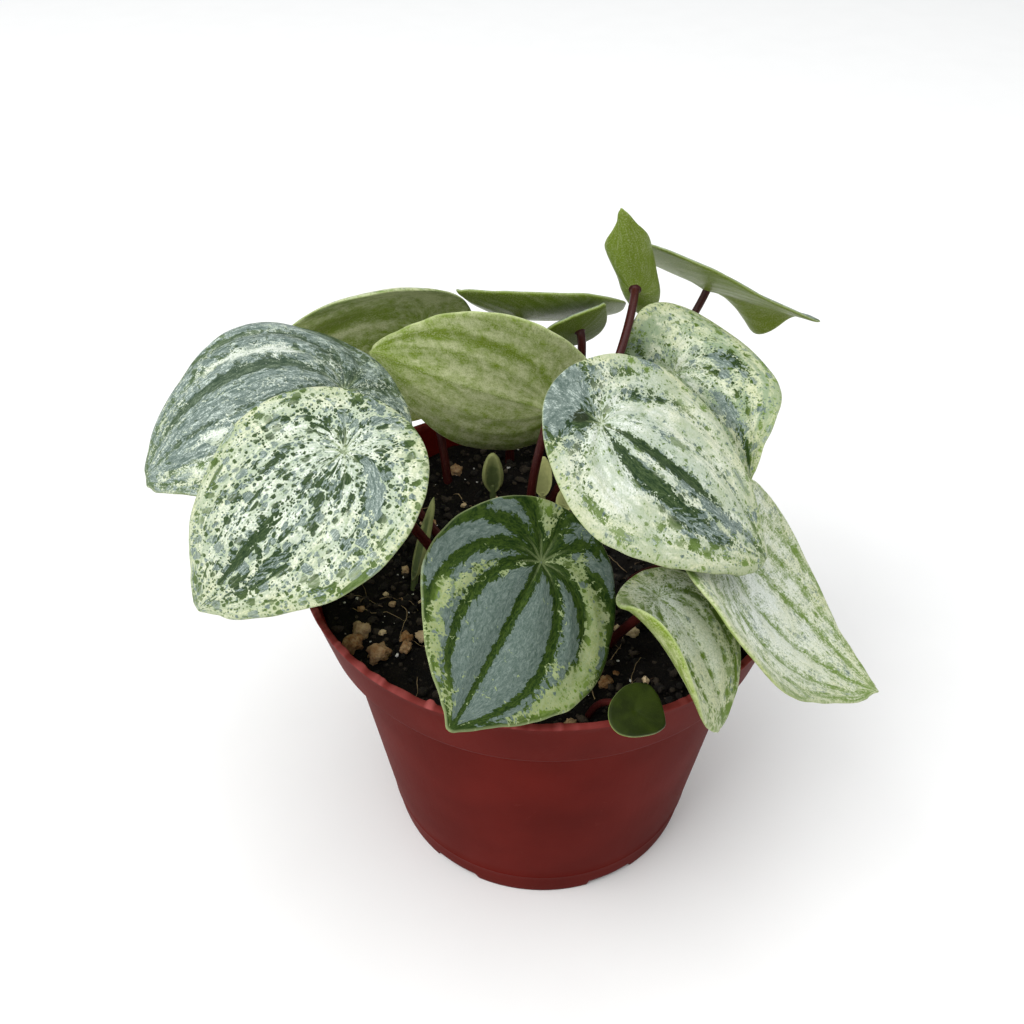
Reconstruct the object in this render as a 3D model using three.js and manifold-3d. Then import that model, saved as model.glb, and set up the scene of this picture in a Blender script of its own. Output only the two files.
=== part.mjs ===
// Potted peperomia: a round plastic nursery pot filled with potting mix, and a plant of
// shield-shaped leaves, each on its own stalk.
// Units are millimetres and +Z is up. The pot's axis is the Z axis and it stands on Z = 0.
// The plant is seen from -Y in the view that the leaves were measured in.
import * as THREE from 'three';
import { mergeVertices } from 'three/addons/utils/BufferGeometryUtils.js';
import Module from 'manifold-3d';

const wasm = await Module();
wasm.setup();

// Pot
const POT_HEIGHT = 81;
const RIM_RADIUS = 54;
const BAND_HEIGHT = 14;
const BAND_LOWER_RADIUS = 50.6;
const SHOULDER_RADIUS = 47;
const SHOULDER_RISE = 1.2;
const BASE_RADIUS = 37.5;
const WALL = 1.4;
const LIP_ROUND = 0.6;
const FLOOR_UNDERSIDE = 1.2;
const FLOOR_THICKNESS = 1.6;
const FOOT_RING_WIDTH = 4.5;
const FEET = 6;
const CHANNEL_WIDTH = 10.5;
const FIRST_CHANNEL_DEGREES = -64;
const SEAM_HEIGHT = 7.5;
const SEAM_RISE = 0.4;
const DRAIN_DIAMETER = 6;
const DRAIN_CIRCLE_RADIUS = 27;
const POT_SIDES = 48;
const DRAIN_SIDES = 12;

// Potting mix
const SOIL_LEVEL = 73;
const SOIL_CLEARANCE = 0.3;
const SOIL_RELIEF = 0.7;
const SOIL_RINGS = 9;
const HOLE_DEPTH = 5;
const HOLE_CLEARANCE = 0.6;
const HOLE_SUMP = 0.8;
const HOLE_SIDES = 10;
const GRAIN_FLATNESS = [1, 0.85, 0.8];
const GRAIN_PROUD = 0.1;
const SCATTERED_GRAINS = 24;
const SCATTERED_DIAMETER = 1.8;
const SCATTERED_VARIATION = 0.6;
const GRAIN_SPREAD_RADIUS = 45;
const GRAIN_TO_STALK = 4;
const GOLDEN_ANGLE = THREE.MathUtils.degToRad(137.5);

// Leaves
const BLADE_THICKNESS = 0.9;
const TOUCH_GAP = 0.3;
const STALK_GAP = 0.45;
const BLADE_GRID = [4, 24];
const SMALL_BLADE_GRID = [3, 16];
const SMALL_LEAF = 28;
const TIP_SHARPNESS = 2.2;
const STALK_RADIUS = 1.05;
const SPROUT_STALK_RADIUS = 0.8;
const STALK_SIDES = 7;
const STALK_STEPS = 9;
const FOOT_LEAN = 0.3;

// Each leaf blade is a shield joined to its stalk at a navel. length and width are the flat
// blade's; base is the share of the length behind the navel and point how much the tip
// narrows. heading is the compass direction of the tip, counter-clockwise from +X, pitch its
// rise above level and bank the roll about the midrib. The droops bend the tip, base, left
// and right sides down in degrees, cup lifts the whole margin and sway bends the midrib
// sideways. A dip lowers the margin around one angle from the tip. foot is the place of the
// stalk in the soil and approach how far it follows the blade's normal under the navel.
const LEAVES = {
  left_front: {
    length: 59.5, width: 46.5, base: 0.23, point: 0.6, heading: -137, pitch: -25, bank: 11,
    tipDroop: 57, baseDroop: 42, leftDroop: 2, rightDroop: 18, cup: 1, sway: 11, twist: 4,
    navel: [-39, -20, 120], foot: [-20, -5], approach: 12,
  },
  left_back: {
    length: 65.5, width: 56.5, base: 0.24, point: 0.7, heading: -140, pitch: 25, bank: 23,
    tipDroop: 80, leftDroop: 15, rightDroop: 30, cup: -0.5, sway: -0.5, twist: -4,
    navel: [-43, 12.5, 112.5], foot: [-19, 2], approach: 12,
  },
  front: {
    length: 58.5, width: 39.5, base: 0.18, point: 0.8, heading: -116, pitch: -15, bank: 31,
    tipDroop: -27, baseDroop: 16, leftDroop: 35, rightDroop: 6, cup: 4, sway: 3.5, twist: 4,
    navel: [-1.5, -26.5, 98], foot: [0, -9], approach: 8,
  },
  middle: {
    length: 53, width: 41.5, base: 0.2, point: 0.6, heading: -15, pitch: -25, bank: -13,
    tipDroop: 37, baseDroop: 26, leftDroop: 21, rightDroop: 30, cup: 2.5, sway: 1, twist: 1,
    navel: [9, -22.5, 128], foot: [8, -9], approach: 12,
  },
  right_back: {
    length: 51, width: 42, base: 0.29, point: 0.6, heading: -42, pitch: -19, bank: -65,
    tipDroop: -56, baseDroop: -72, leftDroop: 92, rightDroop: 19, cup: -1, sway: 2, twist: -9,
    navel: [30.5, 34.5, 102], foot: [26, 27], rise: [30, 38, 86], approach: 8,
  },
  right_front: {
    length: 60, width: 50.5, base: 0.21, point: 0.8, heading: -26, pitch: -61, bank: 6,
    tipDroop: -34, baseDroop: 51, leftDroop: -8, rightDroop: -30, cup: 2.5, sway: -6,
    dips: [{ depth: 3, at: 140, spread: 28 }],
    navel: [33.5, -26, 99], foot: [18, -4], approach: 8,
  },
  front_right: {
    length: 34.5, width: 33, base: 0.17, point: 0.7, heading: -47, pitch: -19, bank: -1,
    tipDroop: 36, baseDroop: -18, leftDroop: 23, rightDroop: -101, cup: -2.5, sway: 2,
    dips: [{ depth: 1.5, at: -11, spread: 28 }],
    navel: [20.5, -34.5, 96], foot: [12, -24], approach: 6,
  },
  rim: {
    length: 10.5, width: 11.5, base: 0.44, point: 0.5, heading: -36, pitch: -24, bank: -9,
    cup: 0.5, sway: -1, twist: 5,
    navel: [15, -53.5, 85.5], foot: [7, -43], rise: [9, -46, 86], approach: 1.5, stalkRadius: 0.7,
  },
  back_middle: {
    length: 52.5, width: 45, base: 0.17, point: 0.7, heading: 178, pitch: 13, bank: -77,
    tipDroop: -13, baseDroop: 16, leftDroop: 27, rightDroop: -1, cup: 4.5, sway: 2, twist: -13,
    navel: [1, 22, 101], foot: [-3.2, 11], rise: [-4.2, 15, 88], approach: 8,
  },
  back_left: {
    length: 59, width: 51, base: 0.22, point: 0.8, heading: 188, pitch: -15, bank: -75,
    tipDroop: 7, baseDroop: 1, leftDroop: 38, rightDroop: 24, cup: -2.5, twist: -11,
    navel: [-29.5, 49, 107], foot: [-23, 30], approach: 5,
  },
  back_high: {
    length: 45, width: 38.5, base: 0.58, point: 0.8, heading: 206, pitch: 21, bank: -29,
    baseDroop: 1, leftDroop: -4, rightDroop: 5, cup: 3.5, sway: -3, twist: 2,
    navel: [-5.8, 42.7, 113], foot: [-8, 38], rise: [-8, 41, 88], approach: 8,
  },
  back_small: {
    length: 18.5, width: 16.5, base: 0.44, point: 0.8, heading: -16, pitch: 43, bank: 42,
    cup: 0.5, sway: 3, twist: -2,
    navel: [8, 36, 113], foot: [7, 31], rise: [8, 38, 86], approach: 4,
  },
  top_folded: {
    length: 30, width: 18.5, base: 0.34, point: 0.72, heading: -158, pitch: 73, bank: -60,
    leftDroop: -39, rightDroop: -106, cup: 3, twist: 7, baseSway: -1,
    dips: [{ depth: 3.5, at: 67, spread: 21 }, { depth: -5, at: -103, spread: 36 }],
    navel: [21.5, 47.5, 117.5], foot: [-3, 19], rise: [10, 12, 94], approach: 15,
  },
  back_right: {
    length: 53, width: 43, base: 0.45, point: 0.8, heading: -31, pitch: -6, bank: 31,
    rightDroop: -15, cup: 1.5, sway: 0.5, twist: -2,
    dips: [{ depth: 8, at: -66, spread: 16 }, { depth: 2, at: -92, spread: 25 }],
    navel: [42, 64.5, 109], foot: [17, 38], rise: [23, 46, 86], approach: 8,
  },
};

// Young leaves that are still pale: blade and stalk are one piece.
const SPROUTS = {
  back: {
    length: 11, width: 5, base: 0.2, point: 0.3, heading: 90, pitch: 85, bank: 0,
    leftDroop: -40, rightDroop: -40, thickness: 1.2,
    navel: [-12, 24.5, 77], foot: [-12, 23.5],
  },
  middle: {
    length: 9.5, width: 4.6, base: 0.12, point: 0.1, heading: 90, pitch: 62, bank: 0,
    thickness: 1.2, navel: [-0.3, 16, 81.5], foot: [-0.6, 13],
  },
  low: {
    length: 7, width: 4.5, base: 0.3, point: 0.3, heading: 60, pitch: 62, bank: 0,
    thickness: 1.2, navel: [4.8, 13.2, 80], foot: [5, 11],
  },
  left: {
    length: 19, width: 2.6, base: 0.12, point: 0.3, heading: 70, pitch: 46, bank: 0,
    leftDroop: -35, rightDroop: -35, thickness: 1.1,
    navel: [-28.8, -5.5, 76], foot: [-29.5, -8.5],
  },
};

// Pumice grains that show on the soil: place and diameter.
const GRAINS = [
  { at: [-39.4, -21.3], diameter: 4.6 },
  { at: [-40.6, -25.7], diameter: 4.3 },
  { at: [-34.9, -28.8], diameter: 4.6 },
  { at: [-29.6, -24.2], diameter: 2.9 },
  { at: [-26.2, -23.2], diameter: 2.9 },
  { at: [-29.4, -27.6], diameter: 2.6 },
  { at: [-21.6, 35], diameter: 3.4 },
  { at: [18.2, -21.3], diameter: 2.6 },
  { at: [4, -46.5], diameter: 2.6 },
  { at: [11.5, -35.9], diameter: 3 },
  { at: [26, -27], diameter: 2 },
];

const COLOURS = {
  pot: 0x8a3129,
  soil: 0x221b17,
  variegated: 0xb9c9a4,
  silver: 0x6d8f80,
  underside: 0x93a063,
  plainGreen: 0x35561f,
  stalk: 0x5a2027,
  palestalk: 0xa9b98a,
};

const radians = THREE.MathUtils.degToRad;

function toSolid(geometry) {
  const bare = geometry.clone();
  bare.deleteAttribute('normal');
  bare.deleteAttribute('uv');
  const merged = mergeVertices(bare, 1e-4);
  return new wasm.Manifold(new wasm.Mesh({
    numProp: 3,
    vertProperties: Float32Array.from(merged.attributes.position.array),
    triVerts: Uint32Array.from(merged.index.array),
  }));
}

function toGeometry(solid) {
  const mesh = solid.getMesh();
  const geometry = new THREE.BufferGeometry();
  geometry.setAttribute('position', new THREE.BufferAttribute(mesh.vertProperties, 3));
  geometry.setIndex(new THREE.BufferAttribute(mesh.triVerts, 1));
  geometry.computeVertexNormals();
  return geometry;
}

function indexedGeometry(points, triangles) {
  const geometry = new THREE.BufferGeometry();
  const coordinates = points.flatMap((p) => [p.x, p.y, p.z]);
  geometry.setAttribute('position', new THREE.Float32BufferAttribute(coordinates, 3));
  geometry.setIndex(triangles);
  geometry.computeVertexNormals();
  return geometry;
}

function finish(color, roughness) {
  return new THREE.MeshStandardMaterial({ color, roughness, metalness: 0 });
}

const plant = new THREE.Group();
plant.name = 'potted_peperomia';

function add(name, geometry, material) {
  const mesh = new THREE.Mesh(geometry, material);
  mesh.name = name;
  plant.add(mesh);
  return mesh;
}

// Pot: outer and inner wall radius by height, so that the soil can follow the inside.
const bandBottom = POT_HEIGHT - BAND_HEIGHT;
const shoulderBottom = bandBottom - SHOULDER_RISE;
const innerShoulder = shoulderBottom + WALL * 0.4;
const floorTop = FLOOR_UNDERSIDE + FLOOR_THICKNESS;
const drainRadius = DRAIN_DIAMETER / 2;

function bodyRadius(z) {
  return BASE_RADIUS + (SHOULDER_RADIUS - BASE_RADIUS) * (z / shoulderBottom);
}

function bandRadius(z) {
  return BAND_LOWER_RADIUS + (RIM_RADIUS - BAND_LOWER_RADIUS) * ((z - bandBottom) / BAND_HEIGHT);
}

function potGeometry() {
  const profile = [
    [0, FLOOR_UNDERSIDE],
    [BASE_RADIUS - FOOT_RING_WIDTH, FLOOR_UNDERSIDE],
    [BASE_RADIUS - FOOT_RING_WIDTH, 0],
    [BASE_RADIUS, 0],
    [bodyRadius(SEAM_HEIGHT - SEAM_RISE), SEAM_HEIGHT - SEAM_RISE],
    [bodyRadius(SEAM_HEIGHT) + SEAM_RISE, SEAM_HEIGHT],
    [bodyRadius(SEAM_HEIGHT + SEAM_RISE), SEAM_HEIGHT + SEAM_RISE],
    [SHOULDER_RADIUS, shoulderBottom],
    [BAND_LOWER_RADIUS, bandBottom],
    [RIM_RADIUS, POT_HEIGHT - LIP_ROUND],
    [RIM_RADIUS - LIP_ROUND / 2, POT_HEIGHT],
    [RIM_RADIUS - WALL, POT_HEIGHT],
    [bandRadius(bandBottom + WALL) - WALL, bandBottom + WALL],
    [SHOULDER_RADIUS - WALL, innerShoulder],
    [bodyRadius(floorTop) - WALL, floorTop],
    [0, floorTop],
  ];
  const lathe = new THREE.LatheGeometry(profile.map(([r, z]) => new THREE.Vector2(r, z)), POT_SIDES);
  lathe.rotateX(Math.PI / 2);
  let pot = toSolid(lathe);
  for (let k = 0; k < FEET; k += 1) {
    const angle = radians(FIRST_CHANNEL_DEGREES + (k * 360) / FEET);
    const channel = new THREE.BoxGeometry(2 * FOOT_RING_WIDTH + 4, CHANNEL_WIDTH, 2 * FLOOR_UNDERSIDE);
    channel.translate(BASE_RADIUS - FOOT_RING_WIDTH / 2, 0, 0);
    channel.rotateZ(angle);
    pot = pot.subtract(toSolid(channel));
    const drain = new THREE.CylinderGeometry(drainRadius, drainRadius, 3 * FLOOR_THICKNESS, DRAIN_SIDES);
    drain.rotateX(Math.PI / 2);
    drain.translate(DRAIN_CIRCLE_RADIUS, 0, floorTop);
    drain.rotateZ(angle);
    pot = pot.subtract(toSolid(drain));
  }
  return toGeometry(pot);
}

// Flat blade outline, with psi the angle about the blade's middle from the tip.
function outlineScale(point) {
  let widest = 0;
  for (let k = 1; k < 180; k += 1) {
    const psi = radians(k);
    const c = (1 + Math.cos(psi)) / 2;
    widest = Math.max(widest, Math.sin(psi) * (1 - point * c ** TIP_SHARPNESS));
  }
  return 1 / widest;
}

function bend(along, off, angle, reach) {
  const curvature = angle / reach;
  if (Math.abs(curvature) < 1e-6) {
    return [along, off];
  }
  const radius = 1 / curvature;
  const turn = along * curvature;
  return [Math.sin(turn) * (radius + off), Math.cos(turn) * (radius + off) - radius];
}

// A point of the blade's middle surface in the blade's own axes: X right, Y tip, Z up.
function bladePoint(leaf, rho, psi) {
  const c = (1 + Math.cos(psi)) / 2;
  const taper = 1 - leaf.point * c ** TIP_SHARPNESS;
  const y = rho * leaf.length * (c - leaf.base);
  let x = rho * (leaf.width / 2) * Math.sin(psi) * taper * leaf.scale;
  const tipReach = leaf.length * (1 - leaf.base);
  const baseReach = leaf.length * leaf.base;
  let z = (leaf.cup ?? 0) * rho * rho;
  for (const dip of leaf.dips ?? []) {
    const away = Math.atan2(Math.sin(psi - radians(dip.at)), Math.cos(psi - radians(dip.at)));
    z -= dip.depth * rho * rho * Math.exp(-((away / radians(dip.spread)) ** 2));
  }
  x += y > 0 ? (leaf.sway ?? 0) * (y / tipReach) ** 2 : (leaf.baseSway ?? 0) * (y / baseReach) ** 2;
  const sideDroop = radians(x > 0 ? leaf.rightDroop ?? 0 : leaf.leftDroop ?? 0);
  const [across, lift] = bend(Math.abs(x), z, sideDroop, leaf.width / 2);
  const sideways = Math.sign(x) * across;
  const roll = radians(leaf.twist ?? 0) * (y / tipReach);
  const rolledX = sideways * Math.cos(roll) - lift * Math.sin(roll);
  const rolledZ = sideways * Math.sin(roll) + lift * Math.cos(roll);
  const endDroop = radians(y > 0 ? leaf.tipDroop ?? 0 : leaf.baseDroop ?? 0);
  const [forward, height] = bend(Math.abs(y), rolledZ, endDroop, y > 0 ? tipReach : baseReach);
  return new THREE.Vector3(rolledX, Math.sign(y) * forward, height);
}

function bladeNormal(leaf, rho, psi) {
  const small = 0.02;
  const r = Math.max(rho, 2 * small);
  const outward = bladePoint(leaf, r + small, psi).sub(bladePoint(leaf, r - small, psi));
  const round = bladePoint(leaf, r, psi + small).sub(bladePoint(leaf, r, psi - small));
  return round.cross(outward).normalize();
}

function navelNormal(leaf) {
  const normal = new THREE.Vector3();
  for (let k = 0; k < 8; k += 1) {
    normal.add(bladeNormal(leaf, 0, (k * Math.PI) / 4));
  }
  return normal.normalize();
}

function bladeGeometry(leaf) {
  const half = (leaf.thickness ?? BLADE_THICKNESS) / 2;
  const points = [];
  const { rings, spokes } = leaf;
  for (const side of [1, -1]) {
    const centre = bladePoint(leaf, 0, 0);
    points.push(centre.addScaledVector(navelNormal(leaf), side * half));
    for (let ring = 1; ring <= rings; ring += 1) {
      for (let spoke = 0; spoke < spokes; spoke += 1) {
        const psi = (spoke * 2 * Math.PI) / spokes;
        const rho = ring / rings;
        points.push(bladePoint(leaf, rho, psi).addScaledVector(bladeNormal(leaf, rho, psi), side * half));
      }
    }
  }
  const perSide = 1 + rings * spokes;
  const index = (side, ring, spoke) => side * perSide + 1 + (ring - 1) * spokes + (spoke % spokes);
  const triangles = [];
  for (let spoke = 0; spoke < spokes; spoke += 1) {
    triangles.push(0, index(0, 1, spoke + 1), index(0, 1, spoke));
    triangles.push(perSide, index(1, 1, spoke), index(1, 1, spoke + 1));
    for (let ring = 1; ring < rings; ring += 1) {
      const [a, b] = [index(0, ring, spoke), index(0, ring, spoke + 1)];
      const [c, d] = [index(0, ring + 1, spoke + 1), index(0, ring + 1, spoke)];
      triangles.push(a, b, c, a, c, d);
      const [e, f] = [index(1, ring, spoke), index(1, ring, spoke + 1)];
      const [g, h] = [index(1, ring + 1, spoke + 1), index(1, ring + 1, spoke)];
      triangles.push(e, g, f, e, h, g);
    }
    const [top, topNext] = [index(0, rings, spoke), index(0, rings, spoke + 1)];
    const [low, lowNext] = [index(1, rings, spoke), index(1, rings, spoke + 1)];
    triangles.push(top, topNext, lowNext, top, lowNext, low);
  }
  return indexedGeometry(points, triangles);
}

// The blade's axes in the plant: X right of the tip seen from above, Y to the tip, Z up.
function bladeFrame(leaf) {
  const heading = radians(leaf.heading);
  const pitch = radians(leaf.pitch);
  const bank = radians(leaf.bank);
  const tip = new THREE.Vector3(
    Math.cos(heading) * Math.cos(pitch),
    Math.sin(heading) * Math.cos(pitch),
    Math.sin(pitch),
  );
  const levelSide = new THREE.Vector3(Math.sin(heading), -Math.cos(heading), 0);
  const side = levelSide.clone().applyAxisAngle(tip, -bank);
  const up = new THREE.Vector3().crossVectors(side, tip);
  return new THREE.Matrix4().makeBasis(side, tip, up);
}

function prepared(leaf) {
  const [rings, spokes] = leaf.length < SMALL_LEAF ? SMALL_BLADE_GRID : BLADE_GRID;
  return { ...leaf, rings, spokes, scale: outlineScale(leaf.point), frame: bladeFrame(leaf) };
}

// The stalk rises from its foot in the soil and meets the blade along the blade's normal.
function stalkPath(leaf, overlap) {
  const normal = navelNormal(leaf).transformDirection(leaf.frame);
  const half = (leaf.thickness ?? BLADE_THICKNESS) / 2;
  const top = new THREE.Vector3(...leaf.navel).addScaledVector(normal, overlap - half - STALK_GAP);
  const foot = new THREE.Vector3(leaf.foot[0], leaf.foot[1], SOIL_LEVEL - HOLE_DEPTH + TOUCH_GAP);
  const lean = new THREE.Vector3().subVectors(top, foot).multiplyScalar(FOOT_LEAN);
  const rise = leaf.rise
    ? new THREE.Vector3(...leaf.rise)
    : foot.clone().add(new THREE.Vector3(lean.x * FOOT_LEAN, lean.y * FOOT_LEAN, lean.z));
  const arrive = top.clone().addScaledVector(normal, -(leaf.approach ?? 0));
  return new THREE.CubicBezierCurve3(foot, rise, arrive, top);
}

function stalkGeometry(path, radius) {
  const section = new THREE.Shape();
  for (let k = 0; k < STALK_SIDES; k += 1) {
    const angle = (k * 2 * Math.PI) / STALK_SIDES;
    const corner = [radius * Math.cos(angle), radius * Math.sin(angle)];
    if (k === 0) {
      section.moveTo(...corner);
    } else {
      section.lineTo(...corner);
    }
  }
  section.closePath();
  return new THREE.ExtrudeGeometry(section, { steps: STALK_STEPS, extrudePath: path });
}

const holes = [];

function rememberHole(path, radius) {
  const foot = path.getPoint(0);
  let t = 0;
  while (path.getPoint(t).z < SOIL_LEVEL + 1) {
    t += 0.01;
  }
  const direction = path.getPoint(t).sub(foot).normalize();
  const wide = radius + HOLE_CLEARANCE;
  const hole = new THREE.CylinderGeometry(wide, wide, 2 * HOLE_DEPTH, HOLE_SIDES);
  hole.translate(0, HOLE_DEPTH - HOLE_SUMP, 0);
  hole.applyQuaternion(new THREE.Quaternion().setFromUnitVectors(new THREE.Vector3(0, 1, 0), direction));
  hole.translate(foot.x, foot.y, foot.z);
  holes.push(hole);
}

const bladeColours = {
  left_front: COLOURS.variegated,
  left_back: COLOURS.silver,
  front: COLOURS.silver,
  middle: COLOURS.variegated,
  right_back: COLOURS.variegated,
  right_front: COLOURS.variegated,
  front_right: COLOURS.variegated,
  rim: COLOURS.plainGreen,
};

for (const [name, entry] of Object.entries(LEAVES)) {
  const leaf = prepared(entry);
  const radius = leaf.stalkRadius ?? STALK_RADIUS;
  const path = stalkPath(leaf, 0);
  rememberHole(path, radius);
  const colour = bladeColours[name] ?? COLOURS.underside;
  const blade = add(`blade_${name}`, bladeGeometry(leaf), finish(colour, 0.45));
  blade.quaternion.setFromRotationMatrix(leaf.frame);
  blade.position.set(...leaf.navel);
  add(`petiole_${name}`, stalkGeometry(path, radius), finish(COLOURS.stalk, 0.4));
}

for (const [name, entry] of Object.entries(SPROUTS)) {
  const leaf = prepared(entry);
  const path = stalkPath(leaf, leaf.thickness / 2 + STALK_GAP);
  rememberHole(path, SPROUT_STALK_RADIUS);
  const blade = bladeGeometry(leaf);
  blade.applyMatrix4(leaf.frame);
  blade.translate(...leaf.navel);
  const sprout = toSolid(blade).add(toSolid(stalkGeometry(path, SPROUT_STALK_RADIUS)));
  add(`sprout_${name}`, toGeometry(sprout), finish(COLOURS.palestalk, 0.45));
}

// Soil: a plug that follows the inside of the pot, with an uneven top.
function soilHeight(x, y) {
  const broad = Math.sin(x * 0.19 + 1.3) * Math.cos(y * 0.23 - 0.4);
  const fine = Math.sin(x * 0.61 - y * 0.37) * Math.cos(y * 0.53 + x * 0.29 + 2.1);
  return SOIL_LEVEL + SOIL_RELIEF * (broad + 0.6 * fine);
}

function soilPlug() {
  const gapped = (radius) => radius - WALL - SOIL_CLEARANCE;
  const stepTop = bandBottom + WALL;
  const levels = [
    [gapped(bandRadius(stepTop)), stepTop + 2 * SOIL_CLEARANCE],
    [gapped(SHOULDER_RADIUS), innerShoulder + 2 * SOIL_CLEARANCE],
    [gapped(bodyRadius(floorTop)), floorTop + SOIL_CLEARANCE],
  ];
  const edge = gapped(bandRadius(SOIL_LEVEL));
  const points = [new THREE.Vector3(0, 0, soilHeight(0, 0))];
  const ringPoint = (radius, spoke, z) => {
    const angle = (spoke * 2 * Math.PI) / POT_SIDES;
    const [x, y] = [radius * Math.cos(angle), radius * Math.sin(angle)];
    return new THREE.Vector3(x, y, z ?? soilHeight(x, y));
  };
  for (let ring = 1; ring <= SOIL_RINGS; ring += 1) {
    for (let spoke = 0; spoke < POT_SIDES; spoke += 1) {
      const last = ring === SOIL_RINGS;
      points.push(ringPoint((edge * ring) / SOIL_RINGS, spoke, last ? SOIL_LEVEL - SOIL_RELIEF : undefined));
    }
  }
  for (const [radius, z] of levels) {
    for (let spoke = 0; spoke < POT_SIDES; spoke += 1) {
      points.push(ringPoint(radius, spoke, z));
    }
  }
  const bottom = points.length;
  points.push(new THREE.Vector3(0, 0, floorTop + SOIL_CLEARANCE));
  const rings = SOIL_RINGS + levels.length;
  const index = (ring, spoke) => 1 + (ring - 1) * POT_SIDES + (spoke % POT_SIDES);
  const triangles = [];
  for (let spoke = 0; spoke < POT_SIDES; spoke += 1) {
    triangles.push(0, index(1, spoke), index(1, spoke + 1));
    for (let ring = 1; ring < rings; ring += 1) {
      const [a, b] = [index(ring, spoke), index(ring, spoke + 1)];
      const [c, d] = [index(ring + 1, spoke + 1), index(ring + 1, spoke)];
      triangles.push(a, c, b, a, d, c);
    }
    triangles.push(bottom, index(rings, spoke + 1), index(rings, spoke));
  }
  return toSolid(indexedGeometry(points, triangles));
}

function grainSolid(x, y, diameter, turn) {
  const grain = new THREE.IcosahedronGeometry(diameter / 2, 0);
  grain.scale(...GRAIN_FLATNESS);
  grain.rotateZ(turn);
  grain.translate(x, y, soilHeight(x, y) + diameter * GRAIN_PROUD);
  return toSolid(grain);
}

function clearOfStalks(x, y, distance) {
  const feet = [...Object.values(LEAVES), ...Object.values(SPROUTS)].map((leaf) => leaf.foot);
  return feet.every(([footX, footY]) => Math.hypot(x - footX, y - footY) > distance);
}

let soil = soilPlug();
GRAINS.forEach(({ at: [x, y], diameter }, k) => {
  soil = soil.add(grainSolid(x, y, diameter, k));
});
for (let k = 0; k < SCATTERED_GRAINS; k += 1) {
  const reach = GRAIN_SPREAD_RADIUS * Math.sqrt((k + 0.5) / SCATTERED_GRAINS);
  const [x, y] = [reach * Math.cos(k * GOLDEN_ANGLE), reach * Math.sin(k * GOLDEN_ANGLE)];
  const diameter = SCATTERED_DIAMETER + SCATTERED_VARIATION * Math.sin(k * GOLDEN_ANGLE);
  if (clearOfStalks(x, y, GRAIN_TO_STALK)) {
    soil = soil.add(grainSolid(x, y, diameter, k));
  }
}
for (const hole of holes) {
  soil = soil.subtract(toSolid(hole));
}
add('soil', toGeometry(soil), finish(COLOURS.soil, 0.95));
add('pot', potGeometry(), finish(COLOURS.pot, 0.5));

export default plant;
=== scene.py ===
"""Potted peperomia: shield-shaped variegated leaves on red stalks in a red-brown nursery pot."""

import math
import random
from functools import lru_cache, partial

import bmesh
import bpy
import numpy as np
from mathutils import Matrix, Vector, noise


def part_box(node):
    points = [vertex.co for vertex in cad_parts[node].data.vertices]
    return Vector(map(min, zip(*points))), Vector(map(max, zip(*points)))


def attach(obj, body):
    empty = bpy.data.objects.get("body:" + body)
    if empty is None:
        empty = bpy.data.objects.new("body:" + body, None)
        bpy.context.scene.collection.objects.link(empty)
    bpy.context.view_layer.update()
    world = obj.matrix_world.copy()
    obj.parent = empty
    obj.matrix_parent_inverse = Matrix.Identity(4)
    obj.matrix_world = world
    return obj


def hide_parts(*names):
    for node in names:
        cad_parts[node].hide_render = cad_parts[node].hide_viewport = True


bl_info = {
    "name": "Potted peperomia",
    "version": (1, 0, 0),
    "blender": (4, 5, 0),
    "location": "View3D > Sidebar > Peperomia",
    "description": "Builds a variegated peperomia in a nursery pot, piece by piece",
    "category": "Add Mesh",
}

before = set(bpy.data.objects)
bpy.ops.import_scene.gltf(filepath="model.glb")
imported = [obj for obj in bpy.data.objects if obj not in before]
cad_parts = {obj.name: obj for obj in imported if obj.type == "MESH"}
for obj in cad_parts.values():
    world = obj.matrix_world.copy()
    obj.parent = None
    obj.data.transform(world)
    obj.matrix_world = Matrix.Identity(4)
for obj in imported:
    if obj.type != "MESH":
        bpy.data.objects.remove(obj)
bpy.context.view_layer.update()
MM = 0.001

# Driving sizes, in millimetres, as in the part's source
BAND_HEIGHT = 14
BAND_LOWER_RADIUS = 50.6
SHOULDER_RADIUS = 47
SHOULDER_RISE = 1.2
BASE_RADIUS = 37.5
WALL = 1.4
FLOOR_UNDERSIDE = 1.2
FLOOR_THICKNESS = 1.6
FOOT_RING_WIDTH = 4.5
FEET = 6
CHANNEL_WIDTH = 10.5
CHANNEL_LIFT = 1.9
FIRST_CHANNEL_DEGREES = -64
SEAM_HEIGHT = 7.5
SEAM_RISE = 0.4
DRAIN_DIAMETER = 6
DRAIN_CIRCLE_RADIUS = 27
SOIL_LEVEL = 73
HOLE_DEPTH = 5
TOUCH_GAP = 0.3
STALK_GAP = 0.45
BLADE_THICKNESS = 0.9
TIP_SHARPNESS = 2.2
FOOT_LEAN = 0.3
STALK_RADIUS = 1.05
SPROUT_STALK_RADIUS = 0.8

# Sizes that only this file has, in millimetres: the pot's lip and the layer of mix that shows
LIP_ROUNDING = 0.45
LIP_ZONE = 0.6
FOOT_CORNER = 0.7
SOIL_LAYER = 3
SOIL_RINGS, SOIL_COLUMNS = 84, 240

# Flash left on the lip: angle and width in degrees, and share of its greatest height
LIP_FLASH = (
    (-115.5, 0.9, 1.8), (-122.5, 2.5, 0.6), (-129, 2, 0.8), (-134, 1, 1), (-140, 1.2, 0.8),
)

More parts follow.
